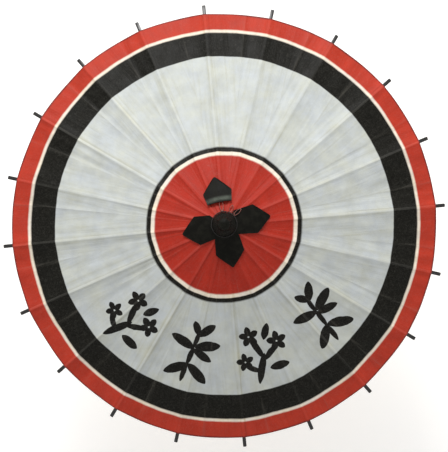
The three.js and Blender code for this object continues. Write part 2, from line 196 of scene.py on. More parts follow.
def noise_of(tree, vector, scale, detail=3.0, roughness=0.5, distortion=0.0):
    """Cloudy noise between 0 and 1."""
    made = node(tree, "ShaderNodeTexNoise", Scale=scale, Detail=detail, Roughness=roughness,
                Distortion=distortion)
    tree.links.new(vector, made.inputs["Vector"])
    return made.outputs["Fac"]


def give_relief(tree, shader, height, strength, distance):
    """Bumps a material's surface by a height."""
    relief = node(tree, "ShaderNodeBump", Strength=strength, Distance=distance)
    tree.links.new(height, relief.inputs["Height"])
    tree.links.new(relief.outputs["Normal"], shader.inputs["Normal"])


def group(name, inputs, outputs):
    """An empty shader node group with (name, socket type, default) inputs and (name, type) outputs."""
    made = bpy.data.node_groups.new(name, "ShaderNodeTree")
    for label, kind, default in inputs:
        socket = made.interface.new_socket(label, in_out="INPUT", socket_type=kind)
        if default is not None:
            socket.default_value = default
    for label, kind in outputs:
        made.interface.new_socket(label, in_out="OUTPUT", socket_type=kind)
    return made, made.nodes.new("NodeGroupInput"), made.nodes.new("NodeGroupOutput")


def wood_grain_group():
    """Long fibres along the first axis of its vector, with pores and a slow change of tone."""
    made, start, end = group(
        "wood_grain",
        [("Vector", "NodeSocketVector", None), ("Pale", "NodeSocketColor", (0.5, 0.3, 0.15, 1)),
         ("Dark", "NodeSocketColor", (0.2, 0.1, 0.05, 1)), ("Fineness", "NodeSocketFloat", 1.0)],
        [("Colour", "NodeSocketColor"), ("Height", "NodeSocketFloat"), ("Roughness", "NodeSocketFloat")])
    link = made.links.new
    scale = node(made, "ShaderNodeVectorMath", operation="SCALE")
    link(start.outputs["Vector"], scale.inputs[0])
    link(start.outputs["Fineness"], scale.inputs["Scale"])
    fibres = noise_of(made, stretched(made, scale.outputs["Vector"], (14, 420, 420)), 1.0, 5.0, 0.62, 0.3)
    tone = noise_of(made, stretched(made, scale.outputs["Vector"], (9, 70, 70)), 1.0, 3.0, 0.5, 0.8)
    paleness = calculate(made, "MULTIPLY_ADD", fibres, 0.6, product(made, tone, 0.5))
    paleness = spread(made, paleness, 0.36, 0.74)
    link(tint(made, paleness, start.outputs["Dark"], start.outputs["Pale"]), end.inputs["Colour"])
    link(fibres, end.inputs["Height"])
    link(spread(made, paleness, 0.0, 1.0, 0.5, 0.34), end.inputs["Roughness"])
    return made


wood_grain = wood_grain_group()


def use_group(tree, shared, **settings):
    """A shared group placed in a tree, with the values of its inputs."""
    made = tree.nodes.new("ShaderNodeGroup")
    made.node_tree = shared
    for key, value in settings.items():
        made.inputs[key].default_value = value
    return made


def wood_material(name, pale, dark, fineness=1.0, coat=0.3, turn=(0, math.pi / 2, 0)):
    """Turned or split wood. Its grain runs along the shaft unless it is turned otherwise."""
    made, tree, shader = material(name)
    place = node(tree, "ShaderNodeTexCoord")
    along = node(tree, "ShaderNodeMapping", Rotation=turn)
    tree.links.new(place.outputs["Object"], along.inputs["Vector"])
    grain = use_group(tree, wood_grain, Pale=(*pale, 1), Dark=(*dark, 1), Fineness=fineness)
    tree.links.new(along.outputs["Vector"], grain.inputs["Vector"])
    tree.links.new(grain.outputs["Colour"], shader.inputs["Base Color"])
    tree.links.new(grain.outputs["Roughness"], shader.inputs["Roughness"])
    give_relief(tree, shader, grain.outputs["Height"], 0.5, 0.00012)
    shader.inputs["Coat Weight"].default_value = coat
    shader.inputs["Coat Roughness"].default_value = 0.18
    return made


shaft_low, shaft_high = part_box("shaft")
SHAFT_RADIUS = 0.009
shaft_bottom, shaft_top = shaft_low.z, shaft_high.z
shaft = turned("turned_shaft", [
    (shaft_bottom, SHAFT_RADIUS - 0.0006), (shaft_bottom + 0.0006, SHAFT_RADIUS),
    (shaft_top - 0.0008, SHAFT_RADIUS), (shaft_top, SHAFT_RADIUS - 0.0008)], sides=48)
latch_low, latch_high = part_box("latch")
latch_azimuth = math.atan2(latch_low.y + latch_high.y, latch_low.x + latch_high.x)
MORTISE_WIDTH = 0.0036
MORTISE_FLOOR = 0.0006
ROOM_UNDER_LATCH = 0.0003
ROOM_OVER_LATCH = 0.0011
mortise = block("mortise", (MORTISE_FLOOR, -MORTISE_WIDTH / 2, latch_low.z - ROOM_UNDER_LATCH),
                (2 * SHAFT_RADIUS, MORTISE_WIDTH / 2, latch_high.z + ROOM_OVER_LATCH), latch_azimuth)
cut_with(shaft, mortise)
smooth(shaft)
shaft.data.materials.append(wood_material("amber_lacquered_wood", (0.43, 0.22, 0.095), (0.2, 0.085, 0.032)))
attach(shaft, "root")
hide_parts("shaft")


# Latch. A springy strip of bamboo in the shaft's mortise, on a brass pin. Its nose holds the runner up.
# It is drawn out along its length from a square, and then stood up in the mortise.
def drawn_bar(name, stations, edge=0.0004):
    """A bar drawn out along +X from a square, through (distance, half width, bottom, top) stations."""
    bpy.ops.object.select_all(action="DESELECT")
    bpy.ops.mesh.primitive_plane_add(size=1, location=(stations[0][0], 0, 0), rotation=(0, math.pi / 2, 0))
    piece = finished(bpy.context.object, name)
    bpy.ops.object.mode_set(mode="EDIT")
    bpy.ops.mesh.select_all(action="SELECT")
    before = (stations[0][0], 0.5, -0.5, 0.5)
    for number, station in enumerate(stations):
        distance, half, bottom, top = station
        if number:
            bpy.ops.mesh.extrude_region_move(TRANSFORM_OT_translate={"value": (distance - before[0], 0, 0)})
        middle = (before[2] + before[3]) / 2
        stretch = (1, half / before[1], (top - bottom) / (before[3] - before[2]))
        bpy.ops.transform.resize(value=stretch, center_override=(distance, 0, middle))
        bpy.ops.transform.translate(value=(0, 0, (bottom + top) / 2 - middle))
        before = station
    bpy.ops.mesh.select_all(action="SELECT")
    bpy.ops.mesh.normals_make_consistent(inside=False)
    bpy.ops.object.mode_set(mode="OBJECT")
    apply_modifier(piece, "BEVEL", width=edge, segments=2, limit_method="ANGLE",
                   angle_limit=math.radians(25))
    return piece


def set_attribute(mesh, name, values):
    """Writes one vector to each vertex, as an attribute that the material reads."""
    layer = mesh.attributes.new(name, "FLOAT_VECTOR", "POINT")
    layer.data.foreach_set("vector", [number for value in values for number in value])


def keep_fibre(piece):
    """Notes each point's place along, across and up the bar, so that the grain stays with the bar."""
    set_attribute(piece.data, "fibre", [tuple(vertex.co) for vertex in piece.data.vertices])


def attribute(tree, name):
    """A vector that the mesh holds at each of its points."""
    return node(tree, "ShaderNodeAttribute", attribute_name=name).outputs["Vector"]


def parts_of(tree, vector):
    """The three numbers of a vector."""
    made = node(tree, "ShaderNodeSeparateXYZ")
    tree.links.new(vector, made.inputs["Vector"])
    return tuple(made.outputs)


NODE_HALF = 0.0011
BLACK_LACQUER = (0.009, 0.008, 0.007)


def bamboo_material(name, pale, dark, nodes=(), tip=None):
    """Split bamboo: long straight fibres, darker at each node, and lacquered black past the tip's start."""
    made, tree, shader = material(name)
    fibre = attribute(tree, "fibre")
    grain = use_group(tree, wood_grain, Pale=(*pale, 1), Dark=(*dark, 1), Fineness=1.3)
    tree.links.new(fibre, grain.inputs["Vector"])
    along = parts_of(tree, fibre)[0]
    colour = grain.outputs["Colour"]
    for distance in nodes:
        near = calculate(tree, "COMPARE", along, distance, NODE_HALF)
        colour = tint(tree, near, colour, tuple(0.55 * part for part in dark))
    if tip:
        colour = tint(tree, spread(tree, along, tip - 0.0004, tip + 0.0004), colour, BLACK_LACQUER)
    tree.links.new(colour, shader.inputs["Base Color"])
    tree.links.new(grain.outputs["Roughness"], shader.inputs["Roughness"])
    give_relief(tree, shader, grain.outputs["Height"], 0.5, 0.0001)
    shader.inputs["Coat Weight"].default_value = 0.25
    shader.inputs["Coat Roughness"].default_value = 0.22
    return made


LATCH_HALF = 0.0015
LATCH_NOSE = 0.0026
latch_length = latch_high.z - latch_low.z
latch_front = SHAFT_RADIUS - 0.0004
latch_back = latch_front - 0.0044
nose = SHAFT_RADIUS + LATCH_NOSE
latch = drawn_bar("bamboo_latch", [
    (0, LATCH_HALF - 0.0002, latch_back + 0.0012, latch_front - 0.0012),
    (0.0008, LATCH_HALF, latch_back + 0.0002, latch_front - 0.0002),
    (latch_length - 0.022, LATCH_HALF, latch_back + 0.0006, latch_front),
    (latch_length - 0.007, LATCH_HALF, latch_back + 0.0004, nose - 0.0001),
    (latch_length - 0.0012, LATCH_HALF, latch_back, nose),
    (latch_length, LATCH_HALF, latch_back, nose - 0.0004)], edge=0.0002)
keep_fibre(latch)
stand_up = Matrix(((0, 0, 1, 0), (0, -1, 0, 0), (1, 0, 0, 0), (0, 0, 0, 1)))
foot_of_latch = Matrix.Translation((0, 0, latch_low.z))
latch.data.transform(Matrix.Rotation(latch_azimuth, 4, "Z") @ foot_of_latch @ stand_up)
smooth(latch)
latch.data.materials.append(bamboo_material("oiled_bamboo", (0.52, 0.35, 0.16), (0.28, 0.15, 0.055)))
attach(latch, "latch")
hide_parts("latch")


# Pins. A brass pin on which the latch turns, and a bamboo peg that keeps the upper hub on the shaft.
# Each is turned with rounded ends and then laid across the shaft.
def ramp(tree, amount, stops):
    """A colour that follows an amount through (position, colour) stops."""
    made = tree.nodes.new("ShaderNodeValToRGB")
    elements = made.color_ramp.elements
    while len(elements) < len(stops):
        elements.new(1)
    for element, (position, colour) in zip(elements, stops):
        element.position = position
        element.color = (*colour, 1)
    tree.links.new(amount, made.inputs["Fac"])
    return made.outputs["Color"]


def worn_metal(name, bright, dull):
    """Old brass: brown patina in broad patches, brighter and smoother where it is rubbed."""
    made, tree, shader = material(name)
    place = node(tree, "ShaderNodeTexCoord").outputs["Object"]
    patches = noise_of(tree, place, 160.0, 6.0, 0.65)
    tree.links.new(ramp(tree, patches, [(0.38, dull), (0.62, bright)]), shader.inputs["Base Color"])
    tree.links.new(spread(tree, patches, 0.35, 0.65, 0.55, 0.28), shader.inputs["Roughness"])
    give_relief(tree, shader, noise_of(tree, place, 900.0, 4.0), 0.3, 0.00005)
    shader.inputs["Metallic"].default_value = 1
    return made


def cross_pin(name, node_name, radius, length, azimuth):
    """A round pin with rounded ends, lying across the shaft in its CAD node's place."""
    low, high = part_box(node_name)
    half = length / 2
    shoulder = half - radius * 0.4
    end = radius * 0.6
    piece = turned(name, [(-half, end), (-shoulder, radius), (shoulder, radius), (half, end)], sides=20)
    across = Matrix.Rotation(azimuth, 4, "Z") @ Matrix.Rotation(math.pi / 2, 4, "X")
    piece.data.transform(Matrix.Translation((low + high) / 2) @ across)
    smooth(piece, 50)
    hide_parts(node_name)
    return piece


brass = worn_metal("worn_brass", (0.62, 0.44, 0.17), (0.24, 0.15, 0.06))
latch_pin = cross_pin("latch_pin_brass", "latch_pin", 0.0008, 0.0108, latch_azimuth)
latch_pin.data.materials.append(brass)
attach(latch_pin, "root")
hub_peg = cross_pin("hub_peg", "hub_pin", 0.0012, 0.029, 0)
peg_wood = wood_material("peg_wood", (0.5, 0.34, 0.17), (0.3, 0.17, 0.07), turn=(0, 0, math.pi / 2))
hub_peg.data.materials.append(peg_wood)
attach(hub_peg, "root")


# Grip and butt cap. A turned hardwood grip under dark red-brown lacquer, glued on the shaft's end, with
# three cut rings at each end, and a cap of old brass pushed over its foot.
grip_low, grip_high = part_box("grip")
cap_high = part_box("butt_cap")[1]
GRIP_BORE = 0.0093
GRIP_END = 0.0122
GRIP_SWELL = 0.0016
RING_DEPTH = 0.0006
seat = cap_high.z + 0.0003
crest = grip_high.z
grip_stations = [(shaft_bottom - 0.0003, GRIP_BORE - 0.0001), (shaft_bottom - 0.0004, 0.0004),
                 (grip_low.z, 0.0004), (grip_low.z, GRIP_END), (seat, GRIP_END), (seat, GRIP_END + 0.0007),
                 (seat + 0.003, GRIP_END + 0.0011)]


def cut_rings(start, radius):
    """Three shallow rings cut round the grip, one above the other."""
    stations = []
    for number in range(3):
        foot = start + number * 0.0026
        stations += [(foot, radius), (foot + 0.0004, radius - RING_DEPTH),
                     (foot + 0.001, radius - RING_DEPTH), (foot + 0.0014, radius)]
    return stations


grip_stations += cut_rings(seat + 0.0045, GRIP_END + 0.0013)
for step in range(13):
    share = step / 12
    height = seat + 0.015 + (crest - seat - 0.032) * share
    belly = GRIP_SWELL * math.sin(math.pi * (0.12 + 0.76 * share) ** 0.9)
    grip_stations.append((height, GRIP_END + 0.0002 + belly))
grip_stations += cut_rings(crest - 0.0135, GRIP_END + 0.0004)
grip_stations += [(crest - 0.0035, GRIP_END + 0.0001), (crest - 0.0012, GRIP_END - 0.0006),
                  (crest, GRIP_END - 0.0016), (crest, GRIP_BORE), (shaft_bottom - 0.0003, GRIP_BORE - 0.0001)]
grip = turned("lacquered_grip", grip_stations, sides=72, hollow=True)
smooth(grip, 40)
grip_wood = wood_material("dark_lacquered_wood", (0.115, 0.04, 0.018), (0.045, 0.014, 0.008), coat=0.55)
grip.data.materials.append(grip_wood)
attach(grip, "root")
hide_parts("grip")

cap_radius = cap_high.x
socket = GRIP_END + 0.0003
cap_top = cap_high.z
cap = turned("brass_butt_cap", [
    (0, 0.0004), (0, cap_radius - 0.0016), (0.0003, cap_radius - 0.0008), (0.001, cap_radius - 0.0002),
    (0.002, cap_radius), (cap_top - 0.0045, cap_radius), (cap_top - 0.0042, cap_radius - 0.0005),
    (cap_top - 0.0034, cap_radius - 0.0005), (cap_top - 0.0031, cap_radius), (cap_top - 0.0008, cap_radius),
    (cap_top - 0.0001, cap_radius - 0.0006), (cap_top, cap_radius - 0.0012), (cap_top, socket),
    (0.005, socket), (0.005, 0.0004), (0, 0.0004)], sides=72, hollow=True)
smooth(cap, 40)
cap.data.materials.append(brass)
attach(cap, "root")
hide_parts("butt_cap")


# Hubs. Two rings turned from fine-grained wood, each sawn with twenty slots for the ribs' or stretchers'
# tongues. The upper one has a collar over it and the runner a sleeve under it, with a keyway for the latch.
RIB_COUNT = 20
RIB_NAMES = [f"rib_{number + 1:02d}" for number in range(RIB_COUNT)]
STRETCHER_NAMES = [f"stretcher_{number + 1:02d}" for number in range(RIB_COUNT)]
joints = {joint["name"]: joint for joint in frame["joints"]}
rib_hinges = [Vector(joints[name + "_hinge"]["pos_m"]) for name in RIB_NAMES]
rib_azimuths = [math.atan2(hinge.y, hinge.x) for hinge in rib_hinges]
HINGE_RADIUS = math.hypot(rib_hinges[0].x, rib_hinges[0].y)
HUB_Z = rib_hinges[0].z
HUB_BORE = 0.0093
SLOT_FLOOR = 0.0136
SLOT_WIDTH = 0.003
TOOTH_HALF = 0.009
SAW_DEPTH = 0.012
SAW_PAST = 0.001
runner_low, runner_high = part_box("runner")
RUNNER_Z = runner_high.z - TOOTH_HALF


def joined(pieces, name):
    """Pieces made one, under a new name."""
    select_only(*pieces)
    bpy.ops.object.join()
    return finished(pieces[0], name)


def slotted(piece, pivot_z):
    """Saws the twenty slots through a hub's teeth, and takes the sharpness off every edge."""
    inner = (SLOT_FLOOR, -SLOT_WIDTH / 2, pivot_z - TOOTH_HALF - SAW_PAST)
    outer = (SLOT_FLOOR + SAW_DEPTH, SLOT_WIDTH / 2, pivot_z + TOOTH_HALF + SAW_PAST)
    cut_with(piece, joined([block("saw", inner, outer, azimuth) for azimuth in rib_azimuths], "saw"))
    apply_modifier(piece, "BEVEL", width=0.00022, segments=2, limit_method="ANGLE",
                   angle_limit=math.radians(38))
    smooth(piece, 32)
    return piece


hub_low, hub_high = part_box("upper_hub")
hub_radius = hub_high.x
COLLAR_RADIUS = 0.015
teeth_top = HUB_Z + TOOTH_HALF
hub = turned("slotted_upper_hub", [
    (hub_low.z, HUB_BORE), (hub_low.z, hub_radius - 0.0004), (hub_low.z + 0.0008, hub_radius),
    (teeth_top - 0.0008, hub_radius), (teeth_top, hub_radius - 0.0004), (teeth_top, COLLAR_RADIUS),
    (hub_high.z - 0.003, COLLAR_RADIUS), (hub_high.z - 0.0022, COLLAR_RADIUS - 0.0006),
    (hub_high.z, COLLAR_RADIUS - 0.0012), (hub_high.z, HUB_BORE), (hub_low.z, HUB_BORE)],
    sides=80, hollow=True)
hub_wood = wood_material("oiled_hub_wood", (0.3, 0.16, 0.07), (0.13, 0.06, 0.024), fineness=1.2, coat=0.15)
slotted(hub, HUB_Z).data.materials.append(hub_wood)
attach(hub, "root")
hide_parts("upper_hub")

teeth_bottom = RUNNER_Z - TOOTH_HALF
sleeve = SLOT_FLOOR
foot = runner_low.z
runner = turned("slotted_runner", [
    (foot, HUB_BORE), (foot, sleeve - 0.0008), (foot + 0.0006, sleeve - 0.0002), (foot + 0.0018, sleeve),
    (foot + 0.0038, sleeve), (foot + 0.005, sleeve - 0.0003), (foot + 0.0062, sleeve - 0.0009),
    (foot + 0.0074, sleeve - 0.0009), (foot + 0.008, sleeve - 0.0005), (foot + 0.009, sleeve - 0.0009),
    (foot + 0.015, sleeve - 0.0012), (foot + 0.022, sleeve - 0.0009),
    (teeth_bottom - 0.0008, sleeve - 0.0004), (teeth_bottom, sleeve + 0.0002),
    (teeth_bottom, hub_radius - 0.0006), (teeth_bottom + 0.0008, hub_radius),
    (runner_high.z - 0.0008, hub_radius), (runner_high.z, hub_radius - 0.0005), (runner_high.z, HUB_BORE),
    (foot, HUB_BORE)], sides=80, hollow=True)
KEYWAY_RADIUS = 0.0121
KEYWAY_WIDTH = 0.0042
cut_with(runner, block("keyway", (HUB_BORE / 2, -KEYWAY_WIDTH / 2, foot - SAW_PAST),
                       (KEYWAY_RADIUS, KEYWAY_WIDTH / 2, runner_high.z + SAW_PAST), latch_azimuth))
slotted(runner, RUNNER_Z).data.materials.append(hub_wood)
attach(runner, "runner")
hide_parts("runner")


# Hinge threads. Waxed two-ply thread, drawn through the teeth of each hub and through every tongue.
# Each is a ring whose two-lobed section turns as it goes round.
def twisted_ring(name, ring_radius, thread_radius, twists, height, around=400):
    """A ring of two-ply thread: its round section is pinched to two lobes, which wind round its middle."""
    bpy.ops.object.select_all(action="DESELECT")
    bpy.ops.mesh.primitive_torus_add(major_segments=around, minor_segments=10, major_radius=ring_radius,
                                     minor_radius=thread_radius, location=(0, 0, height))
    ring = finished(bpy.context.object, name)
    lay = []
    for vertex in ring.data.vertices:
        bearing = math.atan2(vertex.co.y, vertex.co.x)
        out = math.hypot(vertex.co.x, vertex.co.y) - ring_radius
        rise = vertex.co.z - height
        lobe = 0.74 + 0.26 * math.cos(2 * (math.atan2(rise, out) - twists * bearing))
        reach = ring_radius + out * lobe
        vertex.co = (reach * math.cos(bearing), reach * math.sin(bearing), height + rise * lobe)
        lay.append((bearing * ring_radius, out * lobe, rise * lobe))
    set_attribute(ring.data, "fibre", lay)
    for face in ring.data.polygons:
        face.use_smooth = True
    return ring


def thread_material(name, pale, dark):
    """Spun fibre: fine hairs along the thread, darker where dirt and wax lie."""
    made, tree, shader = material(name)
    hairs = noise_of(tree, stretched(tree, attribute(tree, "fibre"), (600, 5200, 5200)), 1.0, 4.0, 0.6)
    tree.links.new(ramp(tree, hairs, [(0.32, dark), (0.68, pale)]), shader.inputs["Base Color"])
    give_relief(tree, shader, hairs, 0.7, 0.0001)
    shader.inputs["Roughness"].default_value = 0.78
    return made


THREAD_RADIUS = 0.0006
waxed = thread_material("waxed_thread", (0.075, 0.058, 0.042), (0.02, 0.016, 0.012))
for name, node_name, body, height in [("hub_hinge_thread", "hub_thread", "root", HUB_Z),
                                      ("runner_hinge_thread", "runner_thread", "runner", RUNNER_Z)]:
    thread = twisted_ring(name, HINGE_RADIUS, THREAD_RADIUS, 55, height, around=640)
    thread.data.materials.append(waxed)
    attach(thread, body)
    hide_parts(node_name)


# Ribs. Slats split from one bamboo stem, thinned to a tongue at the hub, with an ear under the middle for
# the stretcher and a square tip that is dipped in black lacquer. One is drawn out, then copied twenty times.
SLOPE = math.radians(21)
RIB_HALF = 0.0025
TONGUE_HALF = 0.0011
PIVOT = 0.190
PIVOT_DROP = 0.005
PAPER_RADIUS = 0.380
TIP_REACH = 0.0156
RIB_LENGTH = (PAPER_RADIUS + TIP_REACH - HINGE_RADIUS) / math.cos(SLOPE)
PAPER_END = (PAPER_RADIUS - HINGE_RADIUS) / math.cos(SLOPE)
RIB_NODES = (0.112, 0.268)
TIP_HALF = 0.0032


def round_end(start, sign, half, height):
    """Stations that round a tongue's end: in from its tip where sign is 1, out to it where sign is -1."""
    angles = [math.radians(20 + 70 * step / 3) for step in range(4)]
    stations = [(start - sign * height * math.cos(angle), half, -height * math.sin(angle),
                 height * math.sin(angle)) for angle in angles]
    return stations if sign > 0 else stations[::-1]


def knuckle(distance, half, low, high):
    """Stations of the slight swelling at a node of the bamboo."""
    swell = 0.00035
    return [(distance - 0.004, half, low, high), (distance - 0.0012, half + swell, low - swell, high),
            (distance + 0.0012, half + swell, low - swell, high), (distance + 0.004, half, low, high)]


EAR_RADIUS = 0.0024
EAR_SLOT_HALF = 0.0014
EAR = [(EAR_RADIUS * math.cos(math.radians(angle)), EAR_RADIUS * math.sin(math.radians(angle)))
       for angle in range(180, 361, 30)]
rib_pattern = drawn_bar("rib_pattern", [
    *round_end(0, 1, TONGUE_HALF, RIB_HALF), (0.011, TONGUE_HALF, -RIB_HALF, RIB_HALF),
    (0.0135, 0.0018, -RIB_HALF, RIB_HALF), (0.080, RIB_HALF, -RIB_HALF, RIB_HALF),
    *knuckle(RIB_NODES[0], RIB_HALF, -RIB_HALF, RIB_HALF), (PIVOT - 0.0045, RIB_HALF, -RIB_HALF, RIB_HALF),
    *[(PIVOT + out, RIB_HALF, -PIVOT_DROP + up, RIB_HALF) for out, up in EAR],
    (PIVOT + 0.0045, RIB_HALF, -RIB_HALF, RIB_HALF), *knuckle(RIB_NODES[1], RIB_HALF, -RIB_HALF, RIB_HALF),
    (PAPER_END - 0.006, RIB_HALF, -RIB_HALF, RIB_HALF), (PAPER_END + 0.001, TIP_HALF, -RIB_HALF, RIB_HALF),
    (RIB_LENGTH - 0.0016, TIP_HALF, -RIB_HALF, RIB_HALF - 0.0002),
    (RIB_LENGTH, TIP_HALF - 0.0007, -0.0018, 0.0019)])
cut_with(rib_pattern, block(
    "ear_slot", (PIVOT - 2 * EAR_RADIUS, -EAR_SLOT_HALF, -PIVOT_DROP - 2 * EAR_RADIUS),
    (PIVOT + 2 * EAR_RADIUS, EAR_SLOT_HALF, -RIB_HALF)))
keep_fibre(rib_pattern)
smooth(rib_pattern, 30)
rib_bamboo = bamboo_material("rib_bamboo", (0.5, 0.33, 0.15), (0.27, 0.145, 0.055), nodes=RIB_NODES,
                             tip=PAPER_END - 0.004)
rib_pattern.data.materials.append(rib_bamboo)


def set_out(pattern, names, height, tilt, seed):
    """Copies a pattern once for each rib, each copy in its own mesh with its own grain, hinged at a hub at
    the given height and tilted out along its rib."""
    for number, name in enumerate(names):
        piece = pattern.copy()
        piece.data = pattern.data.copy()
        bpy.context.scene.collection.objects.link(piece)
        piece.name = "bamboo_" + name
        piece.data.name = "bamboo_" + name
        for item in piece.data.attributes["fibre"].data:
            item.vector.z += seed * (number + 1)
        azimuth = rib_azimuths[number]
        foot = Vector((HINGE_RADIUS * math.cos(azimuth), HINGE_RADIUS * math.sin(azimuth), height))
        outward = Matrix.Rotation(azimuth, 4, "Z") @ Matrix.Rotation(tilt, 4, "Y")
        piece.data.transform(Matrix.Translation(foot) @ outward)
        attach(piece, name)
        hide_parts(name)
    bpy.data.objects.remove(pattern)


set_out(rib_pattern, RIB_NAMES, HUB_Z, SLOPE, 0.037)


# Stretchers. Thinner bamboo struts from the runner to the ribs' ears, thinned to a tongue at both ends.
# A round bamboo pin stands through the upper tongue. One is drawn out, then copied twenty times.
STRETCHER_LENGTH = math.hypot(PIVOT, PIVOT_DROP)
STRETCHER_HALF = 0.002
STRETCHER_SIDE = 0.0018
STRETCHER_NODE = 0.096
PIN_RADIUS = 0.0006
UPPER_TONGUE = STRETCHER_LENGTH - 0.0039
strut_pattern = drawn_bar("strut_pattern", [
    *round_end(0, 1, TONGUE_HALF, STRETCHER_HALF), (0.033, TONGUE_HALF, -STRETCHER_HALF, STRETCHER_HALF),
    (0.0352, STRETCHER_SIDE, -STRETCHER_HALF, STRETCHER_HALF),
    *knuckle(STRETCHER_NODE, STRETCHER_SIDE, -STRETCHER_HALF, STRETCHER_HALF),
    (UPPER_TONGUE - 0.002, STRETCHER_SIDE, -STRETCHER_HALF, STRETCHER_HALF),
    (UPPER_TONGUE, TONGUE_HALF, -STRETCHER_HALF, STRETCHER_HALF),
    *round_end(STRETCHER_LENGTH, -1, TONGUE_HALF, STRETCHER_HALF)], edge=0.00035)
pivot_pin = turned("pivot_pin", [(-0.00235, 0.00045), (-0.0022, PIN_RADIUS), (0.0022, PIN_RADIUS),
                                 (0.00235, 0.00045)], sides=12)
pivot_pin.data.transform(Matrix.Translation((STRETCHER_LENGTH, 0, 0)) @ Matrix.Rotation(math.pi / 2, 4, "X"))
strut_pattern = joined([strut_pattern, pivot_pin], "strut_pattern")
keep_fibre(strut_pattern)
smooth(strut_pattern, 30)
strut_bamboo = bamboo_material("stretcher_bamboo", (0.46, 0.29, 0.125), (0.24, 0.125, 0.045),
                               nodes=(STRETCHER_NODE,))
strut_pattern.data.materials.append(strut_bamboo)
PIVOT_LAG = math.atan2(PIVOT_DROP, PIVOT)
set_out(strut_pattern, STRETCHER_NAMES, RUNNER_Z, -SLOPE - PIVOT_LAG, 0.053)


# Paper. One disc of oiled paper, creased over each rib and once more between each two, painted in rings.
# It is laid rib by rib: each length is glued along its own rib and meets its neighbours at the creases.
PAPER_INNER_RADIUS = 0.0212
PAPER_THICKNESS = 0.0003
PAPER_LIFT = 0.00295
CREASE_SHARE = 0.63
CREASE_FULLNESS = 0.997
CREASE_DROP = 0.0086
RIB_BAND = 0.0026
SHOULDER_DROP = 0.0007
SHOULDER_RUN = 0.0022
SAG = 0.0012
VALLEY_ROUND = 0.3
RIM_BOW = 0.65
BAND_COLUMNS = 0.2
RIB_STEP = 2 * math.pi / RIB_COUNT
LEFT_REACH = RIB_STEP * (1 - CREASE_SHARE)
RIGHT_REACH = RIB_STEP * CREASE_SHARE


def slope_height(radius, lift):
    """Height of the surface that lies lift above the ribs' middle lines, over a rib."""
    run = (radius - HINGE_RADIUS - lift * math.sin(SLOPE)) / math.cos(SLOPE)
    return HUB_Z + lift * math.cos(SLOPE) - run * math.sin(SLOPE)


def ease(value):
    """A smooth step from 0 to 1."""
    value = min(max(value, 0.0), 1.0)
    return value * value * (3 - 2 * value)


def looseness(x, y, away, size):
    """Pleats that run out from the crown and small puckers, where the paper isn't glued to a rib."""
    bearing = math.atan2(y, x)
    slack = 0.55 + 0.45 * abs(math.cos(bearing))
    reach = math.hypot(x, y)
    pleat = noise.noise(Vector((math.cos(bearing) * 34, math.sin(bearing) * 34, reach * 7)))
    pucker = noise.noise(Vector((x * 46, y * 46, 3.7)))
    return slack * ease(away / 0.006) * size * (0.0020 * pleat + 0.0012 * pucker)


def paper_place(azimuth, column, along):
    """A point of the paper beside the rib at azimuth, and its distance from the rib. column runs from -1 at
    the crease on its right to 1 at the crease on its left, and along from 0 at the crown to 1 at the rim."""
    reach = LEFT_REACH if column > 0 else RIGHT_REACH
    radius = PAPER_INNER_RADIUS + (PAPER_RADIUS - PAPER_INNER_RADIUS) * along
    crease = radius * CREASE_FULLNESS
    end_x, end_y = crease * math.cos(reach), crease * math.sin(reach)
    chord = math.hypot(radius - end_x, end_y)
    band = min(RIB_BAND, 0.42 * chord)
    share = abs(column)
    if share <= BAND_COLUMNS:
        off = band * share / BAND_COLUMNS
    else:
        off = band + (chord - band) * (share - BAND_COLUMNS) / (1 - BAND_COLUMNS)
    across = off / chord
    x = radius + (end_x - radius) * across
    y = math.copysign(end_y * across, column)
    size = radius / PAPER_RADIUS
    past = max(0.0, off - band) / (chord - band)
    top = slope_height(radius, PAPER_LIFT)
    bearing = azimuth + math.copysign(reach, column)
    depth = 1 + 0.55 * noise.noise(Vector((5 * math.cos(bearing), 5 * math.sin(bearing), radius * 5)))
    bottom = slope_height(crease, PAPER_LIFT) - CREASE_DROP * depth * size
    slack = past - VALLEY_ROUND * max(0.0, (past - 1) / VALLEY_ROUND + 1) ** 2 / 2
    z = top + (bottom - top) * slack
    z -= SHOULDER_DROP * ease((off - band) / SHOULDER_RUN) * (1 - past) * min(1, 3 * size)
    z -= SAG * size * 4 * past * (1 - past)
    plan_x = x * math.cos(azimuth) - y * math.sin(azimuth)
    plan_y = x * math.sin(azimuth) + y * math.cos(azimuth)
    z += looseness(plan_x, plan_y, off - band, size)
    swell = 1 + along * RIM_BOW * (1 - math.cos(reach / 2)) * 4 * past * (1 - past)
    swell += 0.0024 * along * noise.noise(Vector((plan_x * 17, plan_y * 17, 9)))
    return Vector((plan_x * swell, plan_y * swell, z)), y


ROWS = 84
COLUMNS = 24


def face_up(piece):
    """Merges the doubles of a sheet that has just been laid, and turns all its faces upwards."""
    bpy.ops.object.mode_set(mode="EDIT")
    bpy.ops.mesh.select_all(action="SELECT")
    bpy.ops.mesh.remove_doubles(threshold=1e-6)
    bpy.ops.mesh.normals_make_consistent(inside=False)
    bpy.ops.object.mode_set(mode="OBJECT")
    if sum(face.normal.z for face in piece.data.polygons) < 0:
        piece.data.flip_normals()


def lay_paper(name, azimuth):
    """A grid, every vertex of which is laid on the paper's surface beside one rib."""
    bpy.ops.object.select_all(action="DESELECT")
    bpy.ops.mesh.primitive_grid_add(x_subdivisions=COLUMNS, y_subdivisions=ROWS, size=2)
    piece = finished(bpy.context.object, name)
    plan, fold = [], []
    for vertex in piece.data.vertices:
        along = (vertex.co.y + 1) / 2
        place, off = paper_place(azimuth, vertex.co.x, along)
        ring = (PAPER_INNER_RADIUS + (PAPER_RADIUS - PAPER_INNER_RADIUS) * along) / PAPER_RADIUS
        plan.append((place.x, place.y, ring))
        fold.append((off, vertex.co.x, azimuth))
        vertex.co = place
    set_attribute(piece.data, "paper_plan", plan)
    set_attribute(piece.data, "paper_fold", fold)
    face_up(piece)
    return piece


